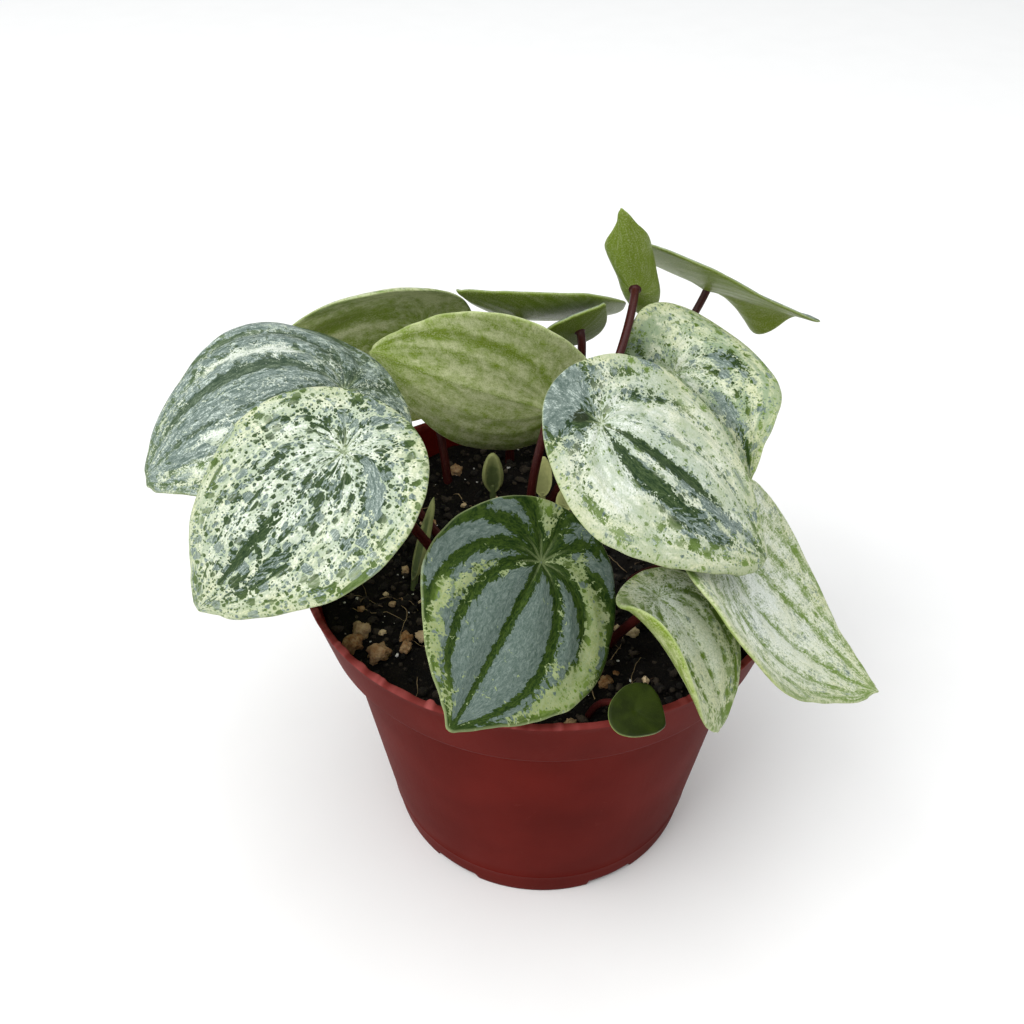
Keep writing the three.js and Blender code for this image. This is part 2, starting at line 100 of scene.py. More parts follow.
# Relief of a blade of the usual length, in millimetres: how far from a main vein and from the
# navel the tissue swells up, how wide the hollow over the stalk is, and how deep, wide and long
# the furrow over a vein and the rib below it are
USUAL_LENGTH = 55
SWELL_FROM_VEIN = 2.2
SWELL_FROM_NAVEL = 6
DIMPLE_RADIUS = 3.2
FURROW_DEPTH = 0.22
FURROW_REACH = 22
RIB_HEIGHT = 0.08
RIB_REACH = 26
VEIN_WIDTH = 0.5
LOWER_SWELL = 0.3
MARGIN_RISE = 0.5
MARGIN_START = 0.95
LAST_EVEN_RING = 0.955
MARGIN_RINGS = (0.972, 0.984, 0.994, 1.0)

# A direction that no stalk starts in
ANY_DIRECTION = (0.3, 0.9, 0.1)

# How far apart the patterns of two blades lie in their textures
GRAIN_DRIFT = (31, 77, 19)
PLACE_DRIFT = (71, 37, 20)

# Stalks: faces along and round, and the shares by which foot and collar are thicker
STALK_STEPS, STALK_SIDES = 56, 20
SPROUT_STEPS, SPROUT_SIDES = 24, 16
SPROUT_RINGS, SPROUT_SPOKES = 20, 64
STALK_FLARE, STALK_TAPER, STALK_COLLAR = 0.22, 0.06, 0.75
STALK_SINK = 0.2

# Random seeds of the loose grains
CRUMB_SEED, PUMICE_SEED, PERLITE_SEED, FIBRE_SEED = 11, 23, 37, 51
FIBRE_STEPS = 12

# Sizes of the loose grains: the least in mm, what chance adds, and how rare the large ones are;
# and how far pumice and perlite are flattened
CRUMB_SIZE, PUMICE_SIZE, PERLITE_SIZE = (0.7, 2.4, 3), (1.1, 1.8, 2), (0.3, 0.9, 3)
PUMICE_SHAPE, PERLITE_SHAPE = (1.05, 0.9, 0.85), (1, 0.7, 0.6)

# Area lights: place and size in metres, and power in watts
LIGHTS = {
    "key": ((-0.9, -0.55, 1.2), 1.2, 15.0),
    "top": ((0.1, -0.1, 1.5), 1.5, 12.0),
}
LIT_POINT = (0, 0, 0.09)
DAYLIGHT = 0.6
FLOOR_SIZE = 6
SENSOR_WIDTH = 36
CLIP_START = 0.01

POT_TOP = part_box("pot")[1].z / MM
RIM_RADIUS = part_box("pot")[1].x / MM
BAND_BOTTOM = POT_TOP - BAND_HEIGHT
SHOULDER_BOTTOM = BAND_BOTTOM - SHOULDER_RISE
FLOOR_TOP = FLOOR_UNDERSIDE + FLOOR_THICKNESS

# Venation: main veins leave the navel, bend forward and meet again at the tip. Their angle is
# counted from the midrib, in degrees, and VEIN_PULL says how strongly the tip draws them in.
MAIN_VEINS = (0, 64, 101, 127, 152, 180)
VEIN_PULL = 2.2

# Bands of another colour: half width in mm along a main vein at the tip, and how much wider it
# gets towards the navel; where the narrow and the broad band of the margin start, and how soon
# they reach their full strength, as shares of the blade's radius
VEIN_BAND_AT_TIP = 0.35
VEIN_BAND_GROWTH = 1.1
EDGE_BANDS = ((0.92, 0.06), (0.7, 0.25))

# The blades' shapes, as in the part's source, and their markings. green is the share of leaf
# tissue with chlorophyll and silver the share with air under its skin; veinGreen, edgeGreen,
# veinDark and edgeDark change them along the veins and the margin. cells says how far the
# colour comes in separate flecks, streak and along how fine the pattern is round the navel and
# away from it, wash how much pale green lies under the cream, frost how much white is in silver
# and cream, and ripe how dark the green is. A patch is the vein angle and the distance from the
# navel in mm of its middle, its spreads, and what it adds to green and silver.
LEAVES = {
    "left_front": dict(
        length=59.5, width=46.5, base=0.23, point=0.6, heading=-137, pitch=-25, bank=11,
        tipDroop=57, baseDroop=42, leftDroop=2, rightDroop=18, cup=1, sway=11, twist=4,
        navel=(-39, -20, 120), foot=(-20, -5), approach=12, slot="leaf_variegated",
        green=0.8, silver=0.5, cells=1.0, streak=20, wash=0.55, along=0.8, frost=0.75,
        patches=[
            (0, 24, 9, 9, 0.75, -0.5), (-52, 27, 11, 7, 0.65, 0.1), (-112, 10, 12, 6, 0.75, 0.8),
            (178, 9, 12, 5, 0.4, 0.5), (130, 8, 10, 4, 0.4, 0.1), (-30, 10, 30, 5, 0.3, 0),
            (70, 18, 20, 7, 0.15, 0.1), (-30, 36, 40, 6, 0.15, -0.1),
        ],
    ),
    "left_back": dict(
        length=65.5, width=56.5, base=0.24, point=0.7, heading=-140, pitch=25, bank=23,
        tipDroop=80, leftDroop=15, rightDroop=30, cup=-0.5, sway=-0.5, twist=-4,
        navel=(-43, 12.5, 112.5), foot=(-19, 2), approach=12, slot="leaf_silver",
        green=0.95, silver=0.85, cells=0.5, streak=9, wash=0.4, veinDark=0.6, along=0.5,
        frost=1.1,
        patches=[
            (62, 26, 12, 13, 0.3, -0.8), (10, 22, 14, 10, 0.1, 0.35), (95, 20, 9, 12, -0.6, 0.3),
            (-80, 26, 20, 14, -0.75, 0), (120, 24, 12, 10, 0.1, -0.1), (-30, 30, 14, 6, -0.5, 0.1),
        ],
    ),
    "front": dict(
        length=58.5, width=39.5, base=0.18, point=0.8, heading=-116, pitch=-15, bank=31,
        tipDroop=-27, baseDroop=16, leftDroop=35, rightDroop=6, cup=4, sway=3.5, twist=4,
        navel=(-1.5, -26.5, 98), foot=(0, -9), approach=8, slot="leaf_silver",
        green=1.4, silver=1.12, cells=0.8, streak=12, along=0.8, wash=0.5, veinDark=1.3,
        edgeDark=0.6, frost=0.1, ripe=0.95, edgeGreen=-0.05,
        patches=[
            (93, 25, 10, 7, -0.8, -0.4), (77, 16, 9, 8, -0.8, -0.4), (52, 7, 10, 5, -0.6, -0.3),
            (84, 35, 14, 7, -0.6, -0.4), (60, 42, 18, 6, -0.6, -0.4), (163, 10, 9, 7, -0.8, -0.4),
            (-132, 5, 18, 5, -0.7, -0.4), (-115, 13, 11, 7, -0.9, -0.5),
            (-106, 22, 11, 8, -0.9, -0.5), (-90, 30, 14, 8, -0.8, -0.5),
            (-72, 20, 7, 9, -0.45, -0.3), (120, 18, 12, 8, 0.2, 0.4), (-178, 12, 7, 8, 0.1, 0.6),
            (-150, 14, 12, 9, 0, 0.5),
        ],
    ),
    "middle": dict(
        length=53, width=41.5, base=0.2, point=0.6, heading=-15, pitch=-25, bank=-13,
        tipDroop=37, baseDroop=26, leftDroop=21, rightDroop=30, cup=2.5, sway=1, twist=1,
        navel=(9, -22.5, 128), foot=(8, -9), approach=12, slot="leaf_variegated",
        green=0.48, silver=0.5, cells=0.65, streak=10, along=0.65, wash=0.5, veinGreen=0.15,
        frost=0.75, ripe=1,
        patches=[
            (6, 14, 11, 12, 0.9, -0.5), (50, 14, 12, 11, 0.95, -0.6), (64, 26, 12, 7, 0.9, 0.6),
            (28, 26, 9, 7, 0.6, 0.5), (-95, 12, 16, 5, 0.3, 0.3), (180, 8, 34, 5, 1.1, 0.9),
            (160, 4, 22, 3, 0.9, -0.6), (98, 12, 12, 9, -0.4, -0.5), (-60, 30, 12, 8, 0.2, 0),
            (10, 32, 10, 6, 0.5, 0.5), (-40, 12, 20, 7, 0.1, 0.4), (0, 41, 60, 5, 0.3, -0.5),
            (86, 27, 12, 8, 0.2, -0.4), (-75, 14, 16, 9, -0.3, 0),
        ],
    ),
    "right_back": dict(
        length=51, width=42, base=0.29, point=0.6, heading=-42, pitch=-19, bank=-65,
        tipDroop=-56, baseDroop=-72, leftDroop=92, rightDroop=19, cup=-1, sway=2, twist=-9,
        navel=(30.5, 34.5, 102), foot=(26, 27), rise=(30, 38, 86), approach=8,
        slot="leaf_variegated",
        green=0.52, silver=0.6, cells=0.6, streak=9, wash=0.9, veinGreen=0.1, frost=0.5,
        patches=[
            (-32, 18, 16, 9, 0.5, 0.6), (-42, 31, 15, 4, 0.9, -0.6), (-105, 12, 12, 5, 0.5, 0),
            (165, 11, 14, 4, 0.4, 0), (110, 22, 8, 8, 0.4, 0), (20, 14, 10, 14, -0.3, 0.1),
            (-75, 14, 9, 6, 0.35, 0),
        ],
    ),
    "right_front": dict(
        length=60, width=50.5, base=0.21, point=0.8, heading=-26, pitch=-61, bank=6,
        tipDroop=-34, baseDroop=51, leftDroop=-8, rightDroop=-30, cup=2.5, sway=-6,
        dips=((3, 140, 28),),
        navel=(33.5, -26, 99), foot=(18, -4), approach=8, slot="leaf_variegated",
        green=0.38, silver=0.5, cells=0.4, streak=17, wash=0.1, veinGreen=0.3, veinDark=0.9,
        along=0.8, frost=0.75, ripe=0.1, edgeDark=0.4, edgeGreen=0.12,
        patches=[
            (0, 38, 22, 8, 0.2, -0.3), (64, 26, 12, 14, 0.15, -0.2), (45, 16, 10, 8, 0.15, 0.2),
            (-64, 26, 10, 14, 0.15, -0.2), (30, 24, 14, 12, -0.25, 0), (-30, 16, 14, 9, -0.2, 0.1),
        ],
    ),
    "front_right": dict(
        length=34.5, width=33, base=0.17, point=0.7, heading=-47, pitch=-19, bank=-1,
        tipDroop=36, baseDroop=-18, leftDroop=23, rightDroop=-101, cup=-2.5, sway=2,
        dips=((1.5, -11, 28),),
        navel=(20.5, -34.5, 96), foot=(12, -24), approach=6, slot="leaf_variegated",
        green=0.37, silver=0.5, cells=0.7, streak=13, wash=0.1, veinGreen=0.3,
        veinDark=0.8, along=0.9, edgeDark=0.7, frost=0.6, ripe=0.4, edgeGreen=0.15,
        patches=[
            (-35, 12, 12, 9, -0.5, 0.3), (-100, 14, 24, 8, 0.4, -0.5), (64, 14, 14, 9, 0.35, -0.5),
            (12, 14, 8, 12, -0.4, 0.3), (0, 27, 60, 5, 0.35, -0.6),
        ],
    ),
    "rim": dict(
        length=10.5, width=11.5, base=0.44, point=0.5, heading=-36, pitch=-24, bank=-9,
        cup=0.5, sway=-1, twist=5, stalkRadius=0.7,
        navel=(15, -53.5, 85.5), foot=(7, -43), rise=(9, -46, 86), approach=1.5,
        slot="leaf_plain_green", green=2, silver=-1, wash=0, ripe=1.6,
    ),
    "back_middle": dict(
        length=52.5, width=45, base=0.17, point=0.7, heading=178, pitch=13, bank=-77,
        tipDroop=-13, baseDroop=16, leftDroop=27, rightDroop=-1, cup=4.5, sway=2, twist=-13,
        navel=(1, 22, 101), foot=(-3.2, 11), rise=(-4.2, 15, 88), approach=8, slot="leaf_olive",
        green=0.42, silver=0.5, streak=13, veinGreen=0.15,
        patches=[(0, 40, 70, 9, 0.35, 0), (-95, 30, 14, 22, 0.3, 0), (-20, 14, 20, 12, -0.1, 0)],
    ),
    "back_left": dict(
        length=59, width=51, base=0.22, point=0.8, heading=188, pitch=-15, bank=-75,
        tipDroop=7, baseDroop=1, leftDroop=38, rightDroop=24, cup=-2.5, twist=-11,
        navel=(-29.5, 49, 107), foot=(-23, 30), approach=5, slot="leaf_olive",
        green=0.57, silver=0.45, streak=9, veinGreen=0.1,
        patches=[(-80, 24, 14, 10, 0.7, 0), (-45, 24, 9, 14, -0.7, 0), (-140, 14, 20, 8, -0.5, 0)],
    ),
    "back_high": dict(
        length=45, width=38.5, base=0.58, point=0.8, heading=206, pitch=21, bank=-29,
        baseDroop=1, leftDroop=-4, rightDroop=5, cup=3.5, sway=-3, twist=2,
        navel=(-5.8, 42.7, 113), foot=(-8, 38), rise=(-8, 41, 88), approach=8,
        slot="leaf_olive", green=0.9, silver=0.8, streak=13, patches=[(100, 14, 20, 8, -0.3, 0)],
    ),
    "back_small": dict(
        length=18.5, width=16.5, base=0.44, point=0.8, heading=-16, pitch=43, bank=42,
        cup=0.5, sway=3, twist=-2,
        navel=(8, 36, 113), foot=(7, 31), rise=(8, 38, 86), approach=4,
        slot="leaf_olive", green=1.2, silver=0.85, patches=[],
    ),
    "top_folded": dict(
        length=30, width=18.5, base=0.34, point=0.72, heading=-158, pitch=73, bank=-60,
        leftDroop=-39, rightDroop=-106, cup=3, twist=7, baseSway=-1,
        dips=((3.5, 67, 21), (-5, -103, 36)),
        navel=(21.5, 47.5, 117.5), foot=(-3, 19), rise=(10, 12, 94), approach=15,
        slot="leaf_olive", green=0.95, silver=0.3, patches=[(-60, 6, 40, 8, 0.6, 0)],
    ),
    "back_right": dict(
        length=53, width=43, base=0.45, point=0.8, heading=-31, pitch=-6, bank=31,
        rightDroop=-15, cup=1.5, sway=0.5, twist=-2, dips=((8, -66, 16), (2, -92, 25)),
        navel=(42, 64.5, 109), foot=(17, 38), rise=(23, 46, 86), approach=8,
        slot="leaf_olive", green=1.15, silver=0.8, streak=13,
        patches=[(-60, 20, 14, 10, -0.25, 0)],
    ),
}

# The young leaves' shapes, as in the part's source, and pale, how little green they have
SPROUTS = {
    "back": dict(
        length=11, width=5, base=0.2, point=0.3, heading=90, pitch=85, bank=0,
        leftDroop=-40, rightDroop=-40, thickness=1.2, navel=(-12, 24.5, 77), foot=(-12, 23.5),
        pale=0.05,
    ),
    "middle": dict(
        length=9.5, width=4.6, base=0.12, point=0.1, heading=90, pitch=62, bank=0,
        thickness=1.2, navel=(-0.3, 16, 81.5), foot=(-0.6, 13), pale=0.75,
    ),
    "low": dict(
        length=7, width=4.5, base=0.3, point=0.3, heading=60, pitch=62, bank=0,
        thickness=1.2, navel=(4.8, 13.2, 80), foot=(5, 11), pale=0.6,
    ),
    "left": dict(
        length=19, width=2.6, base=0.12, point=0.3, heading=70, pitch=46, bank=0,
        leftDroop=-35, rightDroop=-35, thickness=1.1, navel=(-28.8, -5.5, 76), foot=(-29.5, -8.5),
        pale=-0.05,
    ),
}

# Pumice that shows on the soil: place and diameter, as in the part's source
PUMICE = (
    (-39.4, -21.3, 4.6), (-40.6, -25.7, 4.3), (-34.9, -28.8, 4.6), (-29.6, -24.2, 2.9),
    (-26.2, -23.2, 2.9), (-29.4, -27.6, 2.6), (-21.6, 35, 3.4), (18.2, -21.3, 2.6),
    (4, -46.5, 2.6), (11.5, -35.9, 3), (26, -27, 2),
)

LEAF_DEFAULTS = dict(
    tipDroop=0, baseDroop=0, leftDroop=0, rightDroop=0, cup=0, sway=0, baseSway=0, twist=0,
    dips=(), rise=None, approach=0, thickness=None, stalkRadius=STALK_RADIUS,
    green=0.6, silver=0.5, cells=0.2, streak=10, along=0.7, wash=0.3, frost=0.6, ripe=1,
    veinGreen=0, edgeGreen=0, veinDark=0.3, edgeDark=0, patches=(),
)


# Colour and material helpers

def srgb(code):
    """Linear colour of an sRGB hex value such as #7f3a2b."""
    channels = [int(code[k:k + 2], 16) / 255 for k in (1, 3, 5)]
    linear = [c / 12.92 if c <= 0.04045 else ((c + 0.055) / 1.055) ** 2.4 for c in channels]
    return (*linear, 1.0)


def tint_property(name, description, code):
    """A colour that a user would change, from its sRGB hex value."""
    return bpy.props.FloatVectorProperty(
        name=name, description=description, subtype="COLOR", size=4, min=0, max=1,
        default=srgb(code),
    )


def length_property(name, description, millimetres):
    """A length that a user would change, from its value in millimetres."""
    return bpy.props.FloatProperty(
        name=name, description=description, unit="LENGTH", precision=5, default=millimetres * MM,
    )


def count_property(name, description, default, least=1):
    """A number of faces or grains that a user would change."""
    return bpy.props.IntProperty(name=name, description=description, default=default, min=least)


def add_node(tree, kind, inputs=(), **settings):
    """Adds a node with its settings; an input takes a value, a node or a node's output."""
    made = tree.nodes.new("ShaderNode" + kind)
    for key, value in settings.items():
        setattr(made, key, value)
    for socket, value in (inputs if isinstance(inputs, dict) else dict(enumerate(inputs))).items():
        if isinstance(value, bpy.types.Node):
            value = next(output for output in value.outputs if output.enabled)
        if isinstance(value, bpy.types.NodeSocket):
            tree.links.new(value, made.inputs[socket])
        else:
            made.inputs[socket].default_value = value
    return made


def new_material(name):
    """A material with an empty node tree, and the function that adds nodes to it."""
    material = bpy.data.materials.new(name)
    material.use_nodes = True
    material.node_tree.nodes.clear()
    return material, partial(add_node, material.node_tree)


# Settings that a user would change

class PotSettings(bpy.types.PropertyGroup):
    """Colours, lip and fineness of the pot."""

    plastic: tint_property("Plastic", "Colour of the moulded polypropylene", "#60160f")
    worn_plastic: tint_property("Worn plastic", "Colour where the plastic is rubbed", "#53120c")
    lip_burr: length_property("Lip burr", "How far moulding flash and nicks change the lip", 0.3)
    columns: count_property("Columns", "Faces round the pot", 432, 48)


class FoliageSettings(bpy.types.PropertyGroup):
    """Relief, fineness and colours of leaves, stalks and young leaves."""

    thickness: length_property(
        "Blade thickness", "Thickness of a blade between its faces", BLADE_THICKNESS,
    )
    quilting: length_property("Quilting", "How far a blade swells up between its veins", 0.7)
    dimple: length_property("Navel dimple", "Depth of the hollow over the stalk", 0.8)
    margin_wave: bpy.props.FloatProperty(
        name="Margin wave", description="How far the margin waves in and out, for its radius",
        precision=3, default=0.025,
    )
    rings: count_property("Rings", "Faces from navel to margin", 54, 16)
    spokes: count_property("Spokes", "Faces round a blade", 168, 16)
    green: tint_property("Green", "Tissue full of chlorophyll", "#1a3010")
    young_green: tint_property("Young green", "Tissue with less chlorophyll", "#6c8537")
    silver: tint_property("Silver", "Green tissue with air under its skin", "#4f6158")
    pale_silver: tint_property("Pale silver", "Silver at its palest", "#8f9d96")
    cream: tint_property("Cream", "Tissue without chlorophyll", "#d8dab6")
    white: tint_property("White", "Colourless tissue with air under its skin", "#e6ebe3")
    # Both underside colours are partly painted light: lighter than the tissue, for light shining
    # through the blade from above
    underside: tint_property("Underside", "Green tissue seen from below", "#7d952c")
    pale_underside: tint_property("Pale underside", "Cream tissue seen from below", "#d2d8a6")
    stalk: tint_property("Stalk", "Leaf stalks", "#4c1614")


class SoilSettings(bpy.types.PropertyGroup):
    """Relief of the mix, and what lies on it."""

    relief: length_property("Relief", "Height of the clods of the mix", 1.1)
    crumbs: count_property("Crumbs", "Loose peat crumbs", 1900)
    pumice: count_property("Pumice", "Small pumice grains", 60)
    perlite: count_property("Perlite", "White specks", 150)
    fibres: count_property("Fibres", "Fine roots and fibres", 34)


class StageSettings(bpy.types.PropertyGroup):
    """Camera of the studio."""

    camera_distance: bpy.props.FloatProperty(
        name="Camera distance", description="From the camera to the point that it looks at",
        unit="LENGTH", default=0.24,
    )
    camera_elevation: bpy.props.FloatProperty(
        name="Camera elevation", description="Angle of the view above the horizon",
        subtype="ANGLE", default=math.radians(39.5),
    )
    target: bpy.props.FloatVectorProperty(
        name="Target", description="Point that the camera looks at", subtype="TRANSLATION",
        size=3, default=(-0.0074, 0, 0.0885),
    )
    lens: bpy.props.FloatProperty(
        name="Lens", description="Focal length on a 36 mm sensor, in mm", default=38.67,
    )


# Mesh helpers

def make_piece(name, points, faces, values, material, slot, replaced=()):
    """A smooth mesh object in the row frame from points in mm, with its vertex attributes."""
    mesh = bpy.data.meshes.new(name)
    mesh.from_pydata((np.asarray(points, float) * MM).tolist(), [], [list(f) for f in faces])
    for key, value in values.items():
        value = np.asarray(value, np.float32)
        kind = "FLOAT" if value.ndim == 1 else "FLOAT_VECTOR"
        field = "value" if value.ndim == 1 else "vector"
        mesh.attributes.new(key, kind, "POINT").data.foreach_set(field, value.ravel())
    mesh.polygons.foreach_set("use_smooth", [True] * len(mesh.polygons))
    mesh.materials.append(material)
    mesh.update()
    piece = bpy.data.objects.new(name, mesh)
    bpy.context.scene.collection.objects.link(piece)
    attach(piece, "root")
    if replaced:
        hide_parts(*replaced)
    return piece


def joined(parts):
    """One set of points, faces and values from several (points, faces, values)."""
    points, faces, values = [], [], {}
    start = 0
    for some_points, some_faces, some_values in parts:
        points.append(some_points)
        faces.extend([[start + k for k in face] for face in some_faces])
        for key, value in some_values.items():
            values.setdefault(key, []).append(value)
        start += len(some_points)
    return np.concatenate(points), faces, {key: np.concatenate(v) for key, v in values.items()}


def tube(path, radii, sides):
    """Closed tube round a path of points in mm, with its along and around values."""
    path = np.asarray(path, float)
    tangents = np.gradient(path, axis=0)
    tangents /= np.linalg.norm(tangents, axis=1)[:, None]
    side = np.cross(tangents[0], ANY_DIRECTION)
    points, along, around = [], [], []
    lengths = np.concatenate([[0], np.cumsum(np.linalg.norm(np.diff(path, axis=0), axis=1))])
    for k, centre in enumerate(path):
        side = side - tangents[k] * (side @ tangents[k])
        side /= np.linalg.norm(side)
        other = np.cross(tangents[k], side)
        for j in range(sides):
            turn = 2 * math.pi * j / sides
            points.append(centre + radii[k] * (side * math.cos(turn) + other * math.sin(turn)))
            along.append(lengths[k])
            around.append((math.cos(turn), math.sin(turn)))
    faces = []
    for k in range(len(path) - 1):
        for j in range(sides):
            a, b = k * sides + j, k * sides + (j + 1) % sides
            faces.append((a, b, b + sides, a + sides))
    for end, flip in ((0, True), (len(path) - 1, False)):
        points.append(path[end])
        along.append(lengths[end])
        around.append((0, 0))
        centre = len(points) - 1
        for j in range(sides):
            a, b = end * sides + j, end * sides + (j + 1) % sides
            faces.append((centre, b, a) if flip else (centre, a, b))
    return np.asarray(points), faces, {"run": np.column_stack([around, along])}


# Leaf shape

def prepared(entry):
    """A leaf with every default filled in, its width scale and its axes in the row frame."""
    leaf = dict(LEAF_DEFAULTS, **entry)
    psi = np.radians(np.arange(1, 180))
    c = (1 + np.cos(psi)) / 2
    leaf["scale"] = 1 / np.max(np.sin(psi) * (1 - leaf["point"] * c ** TIP_SHARPNESS))
    heading, pitch, bank = (math.radians(leaf[k]) for k in ("heading", "pitch", "bank"))
    tip = np.array([
        math.cos(heading) * math.cos(pitch), math.sin(heading) * math.cos(pitch), math.sin(pitch),
    ])
    level_side = np.array([math.sin(heading), -math.cos(heading), 0])
    level_up = np.cross(level_side, tip)
    side = level_side * math.cos(bank) + level_up * math.sin(bank)
    leaf["axes"] = np.array([side, tip, np.cross(side, tip)])
    leaf["reach"] = leaf["length"] * (1 - leaf["base"])
    return leaf


def flat_outline(leaf, rho, psi):
    """Flat place of a point: across and along from the navel, in mm."""
    c = (1 + np.cos(psi)) / 2
    taper = 1 - leaf["point"] * c ** TIP_SHARPNESS
    across = rho * leaf["width"] / 2 * np.sin(psi) * taper * leaf["scale"]
    return across, rho * leaf["length"] * (c - leaf["base"])


def bend(along, off, angle, reach):
    """Bends a strip down by angle over its reach; returns where along and off end up."""
    curvature = angle / reach
    curvature = np.where(np.abs(curvature) < 1e-6, 1e-6, curvature)
    radius = 1 / curvature
    turn = along * curvature
    return np.sin(turn) * (radius + off), np.cos(turn) * (radius + off) - radius


def blade_surface(leaf, rho, psi):
    """Middle surface of the blade in its own axes, in mm."""
    across, along = flat_outline(leaf, rho, psi)
    back = leaf["length"] * leaf["base"]
    lift = leaf["cup"] * rho ** 2
    for depth, at, spread in leaf["dips"]:
        away = np.angle(np.exp(1j * (psi - math.radians(at))))
        lift = lift - depth * rho ** 2 * np.exp(-((away / math.radians(spread)) ** 2))
    forward = along > 0
    across = across + np.where(
        forward, leaf["sway"] * (along / leaf["reach"]) ** 2,
        leaf["baseSway"] * (along / back) ** 2,
    )
    droop = np.radians(np.where(across > 0, leaf["rightDroop"], leaf["leftDroop"]))
    sideways, lift = bend(np.abs(across), lift, droop, leaf["width"] / 2)
    sideways = sideways * np.sign(across)
    roll = math.radians(leaf["twist"]) * along / leaf["reach"]
    x = sideways * np.cos(roll) - lift * np.sin(roll)
    z = sideways * np.sin(roll) + lift * np.cos(roll)
    droop = np.radians(np.where(forward, leaf["tipDroop"], leaf["baseDroop"]))
    y, z = bend(np.abs(along), z, droop, np.where(forward, leaf["reach"], back))
    return np.stack([x, np.sign(along) * y, z], -1)


def surface_normals(grid):
    """Normals of a ring-by-spoke grid of points that closes round the spokes."""
    outward = np.gradient(grid, axis=0)
    ahead = np.roll(grid, -1, axis=1) - np.roll(grid, 1, axis=1)
    normals = np.cross(ahead, outward)
    return normals / np.maximum(np.linalg.norm(normals, axis=-1, keepdims=True), 1e-9)


def vein_place(leaf, across, along):
    """Vein angle in degrees, distance to the nearest main vein and from the navel in mm."""
    from_navel = np.abs(np.arctan2(across, along))
    tip_gap = np.maximum(leaf["reach"] - along, 0.5)
    from_tip = np.minimum(np.arctan2(np.abs(across), tip_gap), math.radians(50))
    angle = np.degrees(from_navel + VEIN_PULL * from_tip)
    distance = np.hypot(across, along)
    tip_distance = np.hypot(across, tip_gap)
    per_mm = 1 / np.maximum(distance, 0.3) + VEIN_PULL / tip_distance
    gaps = np.array([np.abs(angle - vein) for vein in MAIN_VEINS])
    nearest = np.radians(gaps.min(axis=0)) / per_mm
    return np.where(across < 0, -angle, angle), nearest, distance


def markings(leaf, angle, distance, nearest, rho):
    """Green and silver shares at each point, from the leaf's own shares and its patches."""
    width = VEIN_BAND_AT_TIP + VEIN_BAND_GROWTH * np.clip(1 - distance / leaf["reach"], 0, 1)
    on_vein = np.exp(-((nearest / width) ** 2))
    at_edge, near_edge = (np.clip((rho - start) / span, 0, 1) for start, span in EDGE_BANDS)
    green = leaf["green"] + leaf["veinGreen"] * on_vein + leaf["edgeGreen"] * near_edge
    silver = leaf["silver"] - leaf["veinDark"] * on_vein - leaf["edgeDark"] * at_edge
    for at, reach, spread, length, more_green, more_silver in leaf["patches"]:
        away = np.abs(np.clip(angle, -180, 180) - at)
        away = np.minimum(away, 360 - away) / spread
        beyond = (distance - reach) / length
        weight = np.exp(-(away ** 2) - beyond ** 2)
        green = green + more_green * weight
        silver = silver + more_silver * weight
    return green, silver


def margin_wave(turn, seed):
    """How far the margin waves outward and upward at an angle round the blade, about -1 to 1."""
    round_margin = Vector((math.cos(turn), math.sin(turn), 0))
    outward = noise.noise(round_margin * 2.1 + Vector((seed * 3.7, 0.4, 0.2)))
    outward += 0.4 * noise.noise(round_margin * 6.5 + Vector((0.8, seed * 2.3, 0.6)))
    upward = noise.noise(round_margin * 2.6 + Vector((0.3, 0.9, seed * 1.9)))
    return outward, upward


